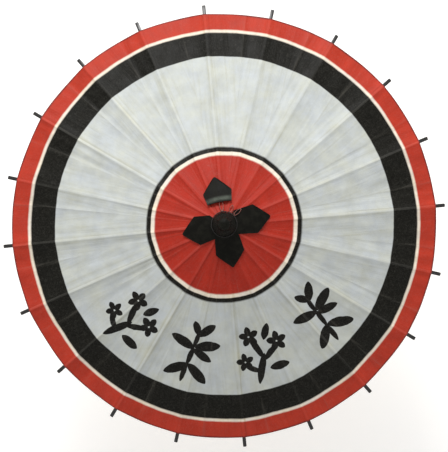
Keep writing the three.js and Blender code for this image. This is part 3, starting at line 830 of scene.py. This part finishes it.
# Paint: rings by the share of the paper's radius, measured along the straight edges between the ribs.
RED = (0.39, 0.0235, 0.0115)
RIM_RED = (0.455, 0.037, 0.0185)
HEM = (0.17, 0.02, 0.017)
CREAM = (0.83, 0.74, 0.63)
INK = (0.0050, 0.0045, 0.0027)
WHITE = (0.515, 0.537, 0.524)
RINGS = [(0.3245, RED), (0.3425, CREAM), (0.3633, INK), (0.7945, WHITE), (0.9097, INK), (0.9222, CREAM),
         (0.9955, RIM_RED), (1.1, HEM)]
BRUSH_EDGE = 0.0011


def ring_paint(tree, ring):
    """The rings' colours, each held to its outer edge and changing over the width of a brush edge."""
    stops = [(0, RINGS[0][1])]
    for (edge, colour), (_, after) in zip(RINGS, RINGS[1:]):
        stops += [(edge - BRUSH_EDGE, colour), (edge + BRUSH_EDGE, after)]
    return ramp(tree, ring, stops)


def vector_of(tree, *numbers):
    """A vector of two or three numbers."""
    made = node(tree, "ShaderNodeCombineXYZ")
    for number, socket in zip(numbers, made.inputs):
        tree.links.new(number, socket)
    return made.outputs["Vector"]


def apart(tree, value, other):
    """How far two numbers are apart, whichever is the larger."""
    return calculate(tree, "ABSOLUTE", calculate(tree, "SUBTRACT", value, other))


def paper_fibre_group():
    """Long mulberry fibres lying every way in the sheet, and the cloudy thickness between them."""
    made, start, end = group("paper_fibre", [("Vector", "NodeSocketVector", None)],
                             [("Fibres", "NodeSocketFloat"), ("Cloud", "NodeSocketFloat")])
    lines = []
    for scale, distortion in ((95.0, 2.2), (170.0, 1.5)):
        field = noise_of(made, start.outputs["Vector"], scale, 2.0, 0.5, distortion)
        lines.append(spread(made, apart(made, field, 0.5), 0.0, 0.022, 1.0, 0.0))
    made.links.new(calculate(made, "MAXIMUM", *lines), end.inputs["Fibres"])
    made.links.new(noise_of(made, start.outputs["Vector"], 34.0, 6.0, 0.62), end.inputs["Cloud"])
    return made


def brush_leaf_group():
    """One pressed brush stroke, pointed at both ends, in a plane measured in metres."""
    inputs = [("Vector", "NodeSocketVector", None)]
    inputs += [(label, "NodeSocketFloat", 0.0) for label in ("X", "Y", "Turn", "Length", "Width")]
    made, start, end = group("brush_leaf", inputs, [("Mask", "NodeSocketFloat")])
    moved = node(made, "ShaderNodeVectorMath", operation="SUBTRACT")
    made.links.new(start.outputs["Vector"], moved.inputs[0])
    made.links.new(vector_of(made, start.outputs["X"], start.outputs["Y"]), moved.inputs[1])
    turned_to = node(made, "ShaderNodeVectorRotate", rotation_type="Z_AXIS")
    made.links.new(moved.outputs["Vector"], turned_to.inputs["Vector"])
    made.links.new(product(made, start.outputs["Turn"], -1.0), turned_to.inputs["Angle"])
    along, aside, _ = parts_of(made, turned_to.outputs["Vector"])
    share = calculate(made, "DIVIDE", along, start.outputs["Length"], clamp=True)
    rest = calculate(made, "SUBTRACT", 1.0, share)
    belly = calculate(made, "POWER", product(made, share, rest, 4.0), 0.62)
    reach = product(made, belly, start.outputs["Width"])
    inside = calculate(made, "SUBTRACT", reach, calculate(made, "ABSOLUTE", aside))
    made.links.new(spread(made, inside, 0.0, 0.0006), end.inputs["Mask"])
    return made


brush_leaf = brush_leaf_group()


def ink_sprig_group(name, strokes):
    """A sprig of strokes, each (x, y, degrees, length, half width) in millimetres from its own middle."""
    made, start, end = group(name, [("Vector", "NodeSocketVector", None)], [("Mask", "NodeSocketFloat")])
    masks = []
    for x, y, degrees, length, width in strokes:
        leaf = use_group(made, brush_leaf, X=x / 1000, Y=y / 1000, Turn=math.radians(degrees),
                         Length=length / 1000, Width=width / 1000)
        made.links.new(start.outputs["Vector"], leaf.inputs["Vector"])
        masks.append(leaf.outputs["Mask"])
    whole = masks[0]
    for mask in masks[1:]:
        whole = calculate(made, "MAXIMUM", whole, mask)
    made.links.new(whole, end.inputs["Mask"])
    return made


def blossom(x, y, size):
    """Five fat strokes round a point."""
    petals = []
    for degrees in range(18, 378, 72):
        turn = math.radians(degrees)
        petals.append((x + 1.2 * math.cos(turn), y + 1.2 * math.sin(turn), degrees, size, 0.36 * size))
    return petals


bamboo_sprig = ink_sprig_group("bamboo_sprig", [
    (-9, -52, 82, 38, 5.2), (-4, -20, 82, 36, 5.0), (0, 12, 80, 32, 4.6), (-2, -17, 212, 46, 9.0),
    (-2, -17, -36, 48, 9.4), (1, 12, 160, 46, 9.0), (2, 14, 16, 46, 9.2), (5, 36, 120, 26, 7.0),
    (4, 34, 46, 36, 8.0), (0, 10, -22, 40, 7.4)])
plum_sprig = ink_sprig_group("plum_sprig", [
    (-18, -52, 66, 56, 7.0), (2, -10, 110, 46, 6.0), (0, -14, 36, 44, 5.6), (-8, -32, 146, 32, 5.4),
    *blossom(-14, 34, 17), *blossom(32, 14, 17), *blossom(-32, -8, 15), (10, 22, 64, 30, 7.0),
    (8, -30, 2, 36, 8.0)])

# Four sprigs stand in an arc on the white ring, on the side away from the first flap.
SPRIG_RADIUS = 0.236
SPRIG_STEP = math.radians(30.5)
SPRIG_MIDDLE = math.radians(-1.0)
BRUSH_SHAKE = 0.004
SPRIG_INK = (0.0052, 0.0047, 0.0034)


def sprig_mask(tree, x, y, wobble):
    """Ink of the four sprigs, each with its top to the crown, bamboo and plum by turns."""
    bearing = calculate(tree, "ARCTAN2", product(tree, x, -1.0), product(tree, y, -1.0))
    place = calculate(tree, "DIVIDE", calculate(tree, "SUBTRACT", bearing, SPRIG_MIDDLE), SPRIG_STEP)
    number = calculate(tree, "MAXIMUM", calculate(tree, "FLOOR", place), -2.0)
    number = calculate(tree, "MINIMUM", number, 1.0)
    share = calculate(tree, "SUBTRACT", calculate(tree, "SUBTRACT", place, number), 0.5)
    off = product(tree, share, SPRIG_STEP)
    reach = calculate(tree, "SQRT", calculate(tree, "ADD", product(tree, x, x), product(tree, y, y)))
    aside = product(tree, reach, calculate(tree, "SINE", off), -1.0)
    outward = product(tree, reach, calculate(tree, "COSINE", off))
    rise = calculate(tree, "SUBTRACT", SPRIG_RADIUS, outward)
    shaken = node(tree, "ShaderNodeVectorMath", operation="MULTIPLY_ADD")
    tree.links.new(wobble, shaken.inputs[0])
    shaken.inputs[1].default_value = (BRUSH_SHAKE, BRUSH_SHAKE, 0)
    tree.links.new(vector_of(tree, aside, rise), shaken.inputs[2])
    masks = []
    for sprig in (bamboo_sprig, plum_sprig):
        ink = use_group(tree, sprig)
        tree.links.new(shaken.outputs["Vector"], ink.inputs["Vector"])
        masks.append(ink.outputs["Mask"])
    odd = calculate(tree, "COMPARE", calculate(tree, "FRACT", product(tree, number, 0.5)), 0.5, 0.2)
    both = node(tree, "ShaderNodeMix", data_type="FLOAT")
    tree.links.new(odd, both.inputs["Factor"])
    tree.links.new(masks[0], both.inputs["A"])
    tree.links.new(masks[1], both.inputs["B"])
    return both.outputs["Result"]


paper_fibre = paper_fibre_group()
# Brown for the stains along the folds, and for the glue stain and painted shade beside the ribs.
BROWN_STAIN_AND_SHADE = (0.84, 0.81, 0.71)
RING_WANDER = 0.0032


def age_and_painted_light(tree, colour, flat, sheet, streaks, off, column, azimuth):
    """Age over the paint: clouds, streaks along the ribs, brown glue stain and painted shade beside them,
    worn creases, and a painted highlight along the rib ridges on the two sides where the light catches them."""
    cloud = spread(tree, sheet.outputs["Cloud"], 0.3, 0.7, 0.86, 1.06)
    cold = spread(tree, noise_of(tree, flat, 21.0, 5.0, 0.7), 0.38, 0.62)
    shade = node(tree, "ShaderNodeCombineColor")
    for channel, warm, cool in (("Red", 1.01, 0.965), ("Green", 1.0, 0.98), ("Blue", 0.93, 1.015)):
        tree.links.new(product(tree, cloud, spread(tree, cold, 0.0, 1.0, warm, cool)), shade.inputs[channel])
    colour = tint(tree, 1.0, colour, shade.outputs["Color"], "MULTIPLY")
    colour = tint(tree, spread(tree, streaks, 0.50, 0.74, 0.0, 0.5), colour, BROWN_STAIN_AND_SHADE, "MULTIPLY")
    side = calculate(tree, "ABSOLUTE", calculate(tree, "COSINE", azimuth))
    from_rib = calculate(tree, "ABSOLUTE", off)
    # Glue stain and painted shade: a soft darker line at the foot of each rib's ridge, weaker on the left and
    # right.
    glue_and_shade = product(tree, spread(tree, apart(tree, from_rib, 0.0036), 0.0, 0.0042, 1.0, 0.0),
                   spread(tree, streaks, 0.36, 0.64), spread(tree, side, 0.3, 0.9, 1.0, 0.45))
    colour = tint(tree, glue_and_shade, colour, BROWN_STAIN_AND_SHADE, "MULTIPLY")
    crease = product(tree, spread(tree, calculate(tree, "ABSOLUTE", column), 0.93, 1.0),
                     spread(tree, streaks, 0.4, 0.65, 0.0, 0.09))
    colour = tint(tree, crease, colour, (0.36, 0.335, 0.28))
    # Painted highlight: the narrow band on top of each rib is lightened, most on the left and right of the
    # umbrella, where the light catches the ridges.
    painted_highlight = product(tree, spread(tree, from_rib, 0.0016, 0.0026, 1.0, 0.0),
                     spread(tree, streaks, 0.3, 0.7, 0.1, 1.0), spread(tree, side, 0.3, 0.85, 0.2, 1.0))
    colour = tint(tree, product(tree, painted_highlight, 0.8), colour, (1.42, 1.4, 1.36), "MULTIPLY")
    colour = tint(tree, product(tree, painted_highlight, 0.055), colour, (0.66, 0.645, 0.59))
    return tint(tree, product(tree, sheet.outputs["Fibres"], 0.045), colour, (0.52, 0.50, 0.43))


def painted_paper():
    """Paint and ink brushed on oiled paper, worn and dirty along the folds, with painted highlights and
    painted shade along the ribs, over the sheet's own fibres.
    """
    made, tree, shader = material("painted_oiled_paper")
    link = tree.links.new
    x, y, ring = parts_of(tree, attribute(tree, "paper_plan"))
    off, column, azimuth = parts_of(tree, attribute(tree, "paper_fold"))
    flat = vector_of(tree, x, y)
    sheet = use_group(tree, paper_fibre)
    link(flat, sheet.inputs["Vector"])
    along_fold = vector_of(tree, product(tree, ring, 2.6), product(tree, off, 150.0),
                           product(tree, azimuth, 7.0))
    streaks = noise_of(tree, along_fold, 1.0, 4.0, 0.6, 0.4)

    wobble = node(tree, "ShaderNodeTexNoise", Scale=42.0, Detail=3.0, Roughness=0.6)
    link(flat, wobble.inputs["Vector"])
    centred = node(tree, "ShaderNodeVectorMath", operation="SUBTRACT")
    link(wobble.outputs["Color"], centred.inputs[0])
    centred.inputs[1].default_value = (0.5, 0.5, 0.5)
    wander = spread(tree, noise_of(tree, flat, 15.0, 4.0, 0.55), 0.25, 0.75, -RING_WANDER, RING_WANDER)
    ink = sprig_mask(tree, x, y, centred.outputs["Vector"])
    colour = tint(tree, ink, ring_paint(tree, calculate(tree, "ADD", ring, wander)), SPRIG_INK)
    link(age_and_painted_light(tree, colour, flat, sheet, streaks, off, column, azimuth), shader.inputs["Base Color"])

    gloss = spread(tree, sheet.outputs["Cloud"], 0.3, 0.7, 0.42, 0.6)
    link(calculate(tree, "SUBTRACT", gloss, product(tree, ink, 0.05)), shader.inputs["Roughness"])
    shader.inputs["Specular IOR Level"].default_value = 0.13
    wrinkles = noise_of(tree, flat, 62.0, 5.0, 0.6, 0.6)
    height = calculate(tree, "ADD", wrinkles, product(tree, streaks, 1.3))
    height = calculate(tree, "ADD", height, product(tree, sheet.outputs["Fibres"], 0.12))
    give_relief(tree, shader, height, 0.45, 0.0011)
    return made


def bare_paper():
    """The same sheet from below: oiled, honey-coloured, with the paint of each ring showing through."""
    made, tree, shader = material("oiled_paper_underside")
    plan = attribute(tree, "paper_plan")
    sheet = use_group(tree, paper_fibre)
    tree.links.new(plan, sheet.inputs["Vector"])
    through = ring_paint(tree, parts_of(tree, plan)[2])
    cloud = spread(tree, sheet.outputs["Cloud"], 0.3, 0.7)
    colour = tint(tree, 0.34, tint(tree, cloud, (0.50, 0.385, 0.22), (0.62, 0.50, 0.32)), through)
    colour = tint(tree, product(tree, sheet.outputs["Fibres"], 0.22), colour, (0.72, 0.62, 0.44))
    tree.links.new(colour, shader.inputs["Base Color"])
    shader.inputs["Roughness"].default_value = 0.5
    give_relief(tree, shader, sheet.outputs["Cloud"], 0.4, 0.0004)
    return made


paper_top = painted_paper()
paper_under = bare_paper()
for name, azimuth, hinge in zip(RIB_NAMES, rib_azimuths, rib_hinges):
    gore = lay_paper("paper_" + name, azimuth)
    gore.data.materials.append(paper_top)
    gore.data.materials.append(paper_under)
    apply_modifier(gore, "SOLIDIFY", thickness=PAPER_THICKNESS, offset=-1, material_offset=1)
    smooth(gore, 50)
    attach(gore, name)
    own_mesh(gore)
    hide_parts("canopy")


# Crown hood. A bag of black oiled cloth drawn down over the hub and the shaft's end, gathered at its neck.
# It is turned as a thin shell, smoothed, and its gathers are pushed in round the neck and under the cord.
def weave_group():
    """Plain weave: threads crossing over and under each other, as a height."""
    made, start, end = group("plain_weave", [("Vector", "NodeSocketVector", None)],
                             [("Height", "NodeSocketFloat")])
    waves = []
    for direction in ("X", "Y"):
        wave = node(made, "ShaderNodeTexWave", wave_type="BANDS", bands_direction=direction, Scale=310.0,
                    Distortion=0.6, Detail=1.0)
        made.links.new(start.outputs["Vector"], wave.inputs["Vector"])
        waves.append(wave.outputs["Fac"])
    made.links.new(calculate(made, "MAXIMUM", *waves), end.inputs["Height"])
    return made


weave = weave_group()


def oiled_cloth(name):
    """Black cloth stiff with oil: dusty patches, the weave just showing, and a painted grey highlight where
    the far flap's root rolls up to the light.
    """
    made, tree, shader = material(name)
    link = tree.links.new
    cloth = attribute(tree, "cloth")
    painted_sheen = parts_of(tree, cloth)[2]
    place = node(tree, "ShaderNodeTexCoord").outputs["Object"]
    threads = use_group(tree, weave)
    link(cloth, threads.inputs["Vector"])
    patches = noise_of(tree, place, 75.0, 5.0, 0.6)
    dust = tint(tree, spread(tree, patches, 0.46, 0.78), (0.0042, 0.0040, 0.0028), (0.0125, 0.012, 0.0085))
    # Painted highlight: grey sheen where the cloth's third number says, across the far flap's rolled root.
    painted_highlight = product(tree, painted_sheen, spread(tree, patches, 0.34, 0.6, 0.45, 1.0))
    colour = tint(tree, painted_highlight, dust, (0.088, 0.102, 0.082))
    colour = tint(tree, product(tree, threads.outputs["Height"], 0.12), colour, (0.022, 0.022, 0.018))
    link(colour, shader.inputs["Base Color"])
    link(spread(tree, patches, 0.35, 0.7, 0.4, 0.62), shader.inputs["Roughness"])
    shader.inputs["Specular IOR Level"].default_value = 0.07
    puckers = noise_of(tree, place, 210.0, 4.0, 0.6)
    height = calculate(tree, "ADD", product(tree, threads.outputs["Height"], 0.22), puckers)
    give_relief(tree, shader, height, 0.5, 0.0005)
    return made


black_cloth = oiled_cloth("black_oiled_cloth")
hood_low, hood_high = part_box("crown_cap")
hem = hood_low.z
HOOD_RADIUS = hood_high.x
HOOD_THICKNESS = 0.0009
NECK_RISE = 0.0315
NECK_REACH = 0.0085
TIE_RISE = 0.0036
TIE_REACH = 0.0035
HOOD_PROFILE = [
    (0, 0), (0.0018, 0.0001), (0.0034, 0.0007), (0.0052, 0.0001), (0.0085, 0.0003), (0.0125, 0.0019),
    (0.0168, 0.0042), (0.0208, 0.0066), (0.0250, 0.0089), (0.0300, 0.0101), (0.0350, 0.0102),
    (0.0384, 0.0116), (0.0408, 0.0146), (0.0420, 0.0180)]
hood = turned("crown_hood", [(hem + rise, HOOD_RADIUS - in_by) for rise, in_by in HOOD_PROFILE]
              + [(hood_high.z, 0)], sides=40, hollow=True)
apply_modifier(hood, "SUBSURF", levels=2, render_levels=2)
GATHERS = 12
cloth_place = []
for vertex in hood.data.vertices:
    bearing = math.atan2(vertex.co.y, vertex.co.x)
    rise = vertex.co.z - hem
    neck = math.exp(-((rise - NECK_RISE) / NECK_REACH) ** 2)
    under_cord = math.exp(-((rise - TIE_RISE) / TIE_REACH) ** 2)
    lean = GATHERS * bearing + 1.7 * math.sin(3 * bearing + 0.6) + 26 * rise
    fold = neck * 0.075 * (0.4 + math.sin(lean)) + 0.016 * under_cord * math.sin(2 * lean)
    soft = 0.02 * noise.noise(vertex.co * 90) * min(1, rise / 0.01)
    vertex.co.x *= 1 + fold + soft
    vertex.co.y *= 1 + fold + soft
    cloth_place.append((bearing * HOOD_RADIUS, vertex.co.z, 0))
set_attribute(hood.data, "cloth", cloth_place)
apply_modifier(hood, "SOLIDIFY", thickness=HOOD_THICKNESS, offset=-1)
smooth(hood, 60)
hood.data.materials.append(black_cloth)
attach(hood, "root")
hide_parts("crown_cap")


# Cord. Cotton cord, wound three times round the hood's foot over the flaps' roots, where it is nearly black,
# and tied in a small red-brown bow. A loop of it holds the flap on the far side, whose root stands clear of
# the hood.
CORD_RADIUS = 0.0009
cord_low, cord_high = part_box("crown_cord")
cord_z = (cord_low.z + cord_high.z) / 2
WOUND_RADIUS = cord_high.x - CORD_RADIUS
# The windings are nearly black, much darker than the red-brown bow and loops.
dark_wound_cotton = thread_material("dark_wound_cord", (0.010, 0.0065, 0.005), (0.005, 0.004, 0.0035))
red_cotton = thread_material("red_cotton_cord", (0.36, 0.135, 0.105), (0.13, 0.045, 0.035))
windings = []
for number in (-1, 0, 1):
    windings.append(twisted_ring("cord_turn", WOUND_RADIUS - 0.0004 * abs(number), CORD_RADIUS, 30,
                                 cord_z + 0.0015 * number + 0.0012, around=320))
LOOP_RADIUS = 0.006


def cord_loop(name, azimuth, start, end, half_width, lift):
    """A flat loop of cord lying on the cone of the paper, from one distance off the axis to another."""
    loop = twisted_ring(name, LOOP_RADIUS, CORD_RADIUS * 1.3, 12, 0, around=96)
    middle = (start + end) / 2
    for vertex in loop.data.vertices:
        vertex.co.x *= (end - start) / 2 / LOOP_RADIUS
        vertex.co.y *= half_width / LOOP_RADIUS
    foot = Vector((middle * math.cos(azimuth), middle * math.sin(azimuth), slope_height(middle, lift)))
    outward = Matrix.Rotation(azimuth, 4, "Z") @ Matrix.Rotation(SLOPE, 4, "Y")
    loop.data.transform(Matrix.Translation(foot) @ outward)
    return loop


bow_azimuth = math.radians(54)
RIBS_PER_FLAP = 5
FAR_FLAP = 1
far_flap_azimuth = rib_azimuths[RIBS_PER_FLAP * FAR_FLAP] + RIB_STEP / 2
loops = [
    cord_loop("bow_loop_1", bow_azimuth - 0.19, 0.0232, 0.0400, 0.0028, PAPER_LIFT + 0.0034),
    cord_loop("bow_loop_2", bow_azimuth + 0.21, 0.0232, 0.0365, 0.0028, PAPER_LIFT + 0.0030),
    cord_loop("bow_knot", bow_azimuth, 0.0232, 0.0272, 0.0020, PAPER_LIFT + 0.0048),
    cord_loop("flap_loop", far_flap_azimuth - 0.10, 0.0232, 0.0440, 0.0032, PAPER_LIFT + 0.0026)]
for name, turns, cotton in [("crown_tie", windings, dark_wound_cotton), ("crown_bow", loops, red_cotton)]:
    cord = joined(turns, name)
    cord.data.materials.append(cotton)
    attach(cord, "root")
    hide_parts("crown_cord")


# Flaps. Four tongues of the hood's cloth, cut to a point and laid down on the paper, held at their roots
# by the cord. Each is laid in two halves, one on the rib to either side, so that it can fold with them.
FLAP_TIPS = (0.0825, 0.0855, 0.0755, 0.0770)
FLAP_TURNS = (-3.6, -2.4, -1.0, -2.4)
FLAP_POINT = 0.027
FLAP_WIDE = 0.0255
FLAP_NECK = 0.0213
FLAP_THICKNESS = 0.0007
FLAP_GAP = 0.0005
FAR_ROOT = 0.0405
ROOT_RADIUS = 0.0217
FLAP_ROWS = 40
FLAP_COLUMNS = 14
POINT_ROWS = 0.6


def flap_place(number, across, along):
    """A point of a flap: across runs from 0 on its middle line to 1 at its edge, along from root to point.
    Returns its distances out and aside, how far it stands off the paper's cone, and how strong a painted
    highlight it gets."""
    tip = FLAP_TIPS[number]
    shoulder = tip - FLAP_POINT
    neck = FLAP_NECK * across
    root = max(math.sqrt(max(ROOT_RADIUS ** 2 - neck ** 2, 0)), neck + 0.0004)
    if number == FAR_FLAP:
        root = FAR_ROOT - 0.0022 * across ** 2
    if along < POINT_ROWS:
        out = root + (shoulder - root) * along / POINT_ROWS
        aside = across * (FLAP_NECK + (FLAP_WIDE - FLAP_NECK) * (out - root) / (shoulder - root))
    else:
        past = (along - POINT_ROWS) / (1 - POINT_ROWS)
        out = shoulder + FLAP_POINT * past
        aside = across * FLAP_WIDE * (1 - past) * (1 + 0.16 * past)
    to_edge = min((1 - across) * FLAP_WIDE, (tip - out) * 0.7) / 0.007
    curl = 0.7 + 0.6 * noise.noise(Vector((out * 60, aside * 60, number * 5)))
    lift = 0.0016 * max(0.0, 1 - to_edge) ** 2 * curl
    lift += 0.0011 * (0.5 + noise.noise(Vector((out * 48, aside * 48, number * 3 + 1)))) * ease(to_edge)
    if number == FAR_FLAP:
        roll = (out - root) / 0.0115
        lift += 0.0048 * max(0.0, 1 - roll) ** 1.5 * (1 - 0.35 * across ** 2)
        # Painted highlight: a grey band across the far flap's rolled root, where it would catch the light.
        painted_sheen = ease(1.15 - abs(roll - 0.5) * 2.3) * (0.8 + 0.4 * noise.noise(Vector((aside * 120, 0, 2))))
    else:
        lift += 0.0009 * (1 - ease((math.hypot(out, aside) - ROOT_RADIUS) / 0.005))
        painted_sheen = 0.0
    return out, aside, lift, painted_sheen


def lay_flap(name, number, azimuth, side):
    """One half of a flap, on the side of its middle line that side says, 1 for left and -1 for right."""
    bpy.ops.object.select_all(action="DESELECT")
    bpy.ops.mesh.primitive_grid_add(x_subdivisions=FLAP_COLUMNS, y_subdivisions=FLAP_ROWS, size=1,
                                    location=(0.5, 0.5, 0))
    half = finished(bpy.context.object, name)
    cloth_place = []
    for vertex in half.data.vertices:
        out, aside, lift, painted_sheen = flap_place(number, vertex.co.x, vertex.co.y)
        aside *= side
        radius = math.hypot(out, aside)
        height = slope_height(radius, PAPER_LIFT + FLAP_GAP + FLAP_THICKNESS) + lift
        vertex.co = (out * math.cos(azimuth) - aside * math.sin(azimuth),
                     out * math.sin(azimuth) + aside * math.cos(azimuth), height)
        cloth_place.append((out, aside, painted_sheen))
    set_attribute(half.data, "cloth", cloth_place)
    face_up(half)
    return half


for number in range(len(FLAP_TIPS)):
    first = RIBS_PER_FLAP * number
    middle = rib_azimuths[first] + RIB_STEP / 2 + math.radians(FLAP_TURNS[number])
    for hand, side, rib in (("right", -1, first), ("left", 1, first + 1)):
        half = lay_flap(f"flap_{number + 1}_{hand}", number, middle, side)
        half.data.materials.append(black_cloth)
        apply_modifier(half, "SOLIDIFY", thickness=FLAP_THICKNESS, offset=-1)
        smooth(half, 50)
        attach(half, RIB_NAMES[rib])
        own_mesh(half)
        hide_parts(f"crown_flap_{number + 1}")


# Floor, light and camera. A pale floor, one broad soft light from the top of the view and a pale sky.
bpy.ops.object.select_all(action="DESELECT")
bpy.ops.mesh.primitive_plane_add(size=30, location=(0, 0, -0.002))
floor = finished(bpy.context.object, "floor")
floor_finish, _, floor_shader = material("pale_floor")
floor_shader.inputs["Base Color"].default_value = (0.93, 0.93, 0.92, 1)
floor_shader.inputs["Roughness"].default_value = 0.9
floor_shader.inputs["Emission Color"].default_value = (1, 1, 1, 1)
floor_shader.inputs["Emission Strength"].default_value = 0.3
floor.data.materials.append(floor_finish)


def soft_light(name, place, target, size, power):
    """A square lamp at a place, turned towards a target."""
    light = bpy.data.lights.new(name, "AREA")
    light.size = size
    light.energy = power
    holder = bpy.data.objects.new(name, light)
    bpy.context.scene.collection.objects.link(holder)
    holder.location = place
    holder.rotation_euler = (Vector(target) - Vector(place)).to_track_quat("-Z", "Y").to_euler()


soft_light("window_light", (-0.4, 3.3, 2.9), (0, 0, 0.4), 1.6, 148)
sky = bpy.data.worlds.new("pale_sky")
sky.use_nodes = True
sky.node_tree.nodes["Background"].inputs["Color"].default_value = (1, 1, 1, 1)
sky.node_tree.nodes["Background"].inputs["Strength"].default_value = 0.65
bpy.context.scene.world = sky
bpy.context.scene.view_settings.view_transform = "Standard"

VIEW_WIDTH = 0.80
CAMERA_ABOVE_RIM = 7.0
CAMERA_AIM = -0.0004
CAMERA_ASIDE = 0.12
SENSOR = 36.0
RIM_Z = slope_height(PAPER_RADIUS, 0)
lens = bpy.data.cameras.new("camera")
lens.sensor_fit = "HORIZONTAL"
lens.sensor_width = SENSOR
lens.lens = SENSOR * CAMERA_ABOVE_RIM / VIEW_WIDTH
lens.clip_end = 100
camera = bpy.data.objects.new("camera", lens)
bpy.context.scene.collection.objects.link(camera)
camera.location = (CAMERA_AIM, CAMERA_AIM - CAMERA_ASIDE, RIM_Z + CAMERA_ABOVE_RIM)
camera.rotation_euler = (CAMERA_ASIDE / CAMERA_ABOVE_RIM, 0, 0)
bpy.context.scene.camera = camera
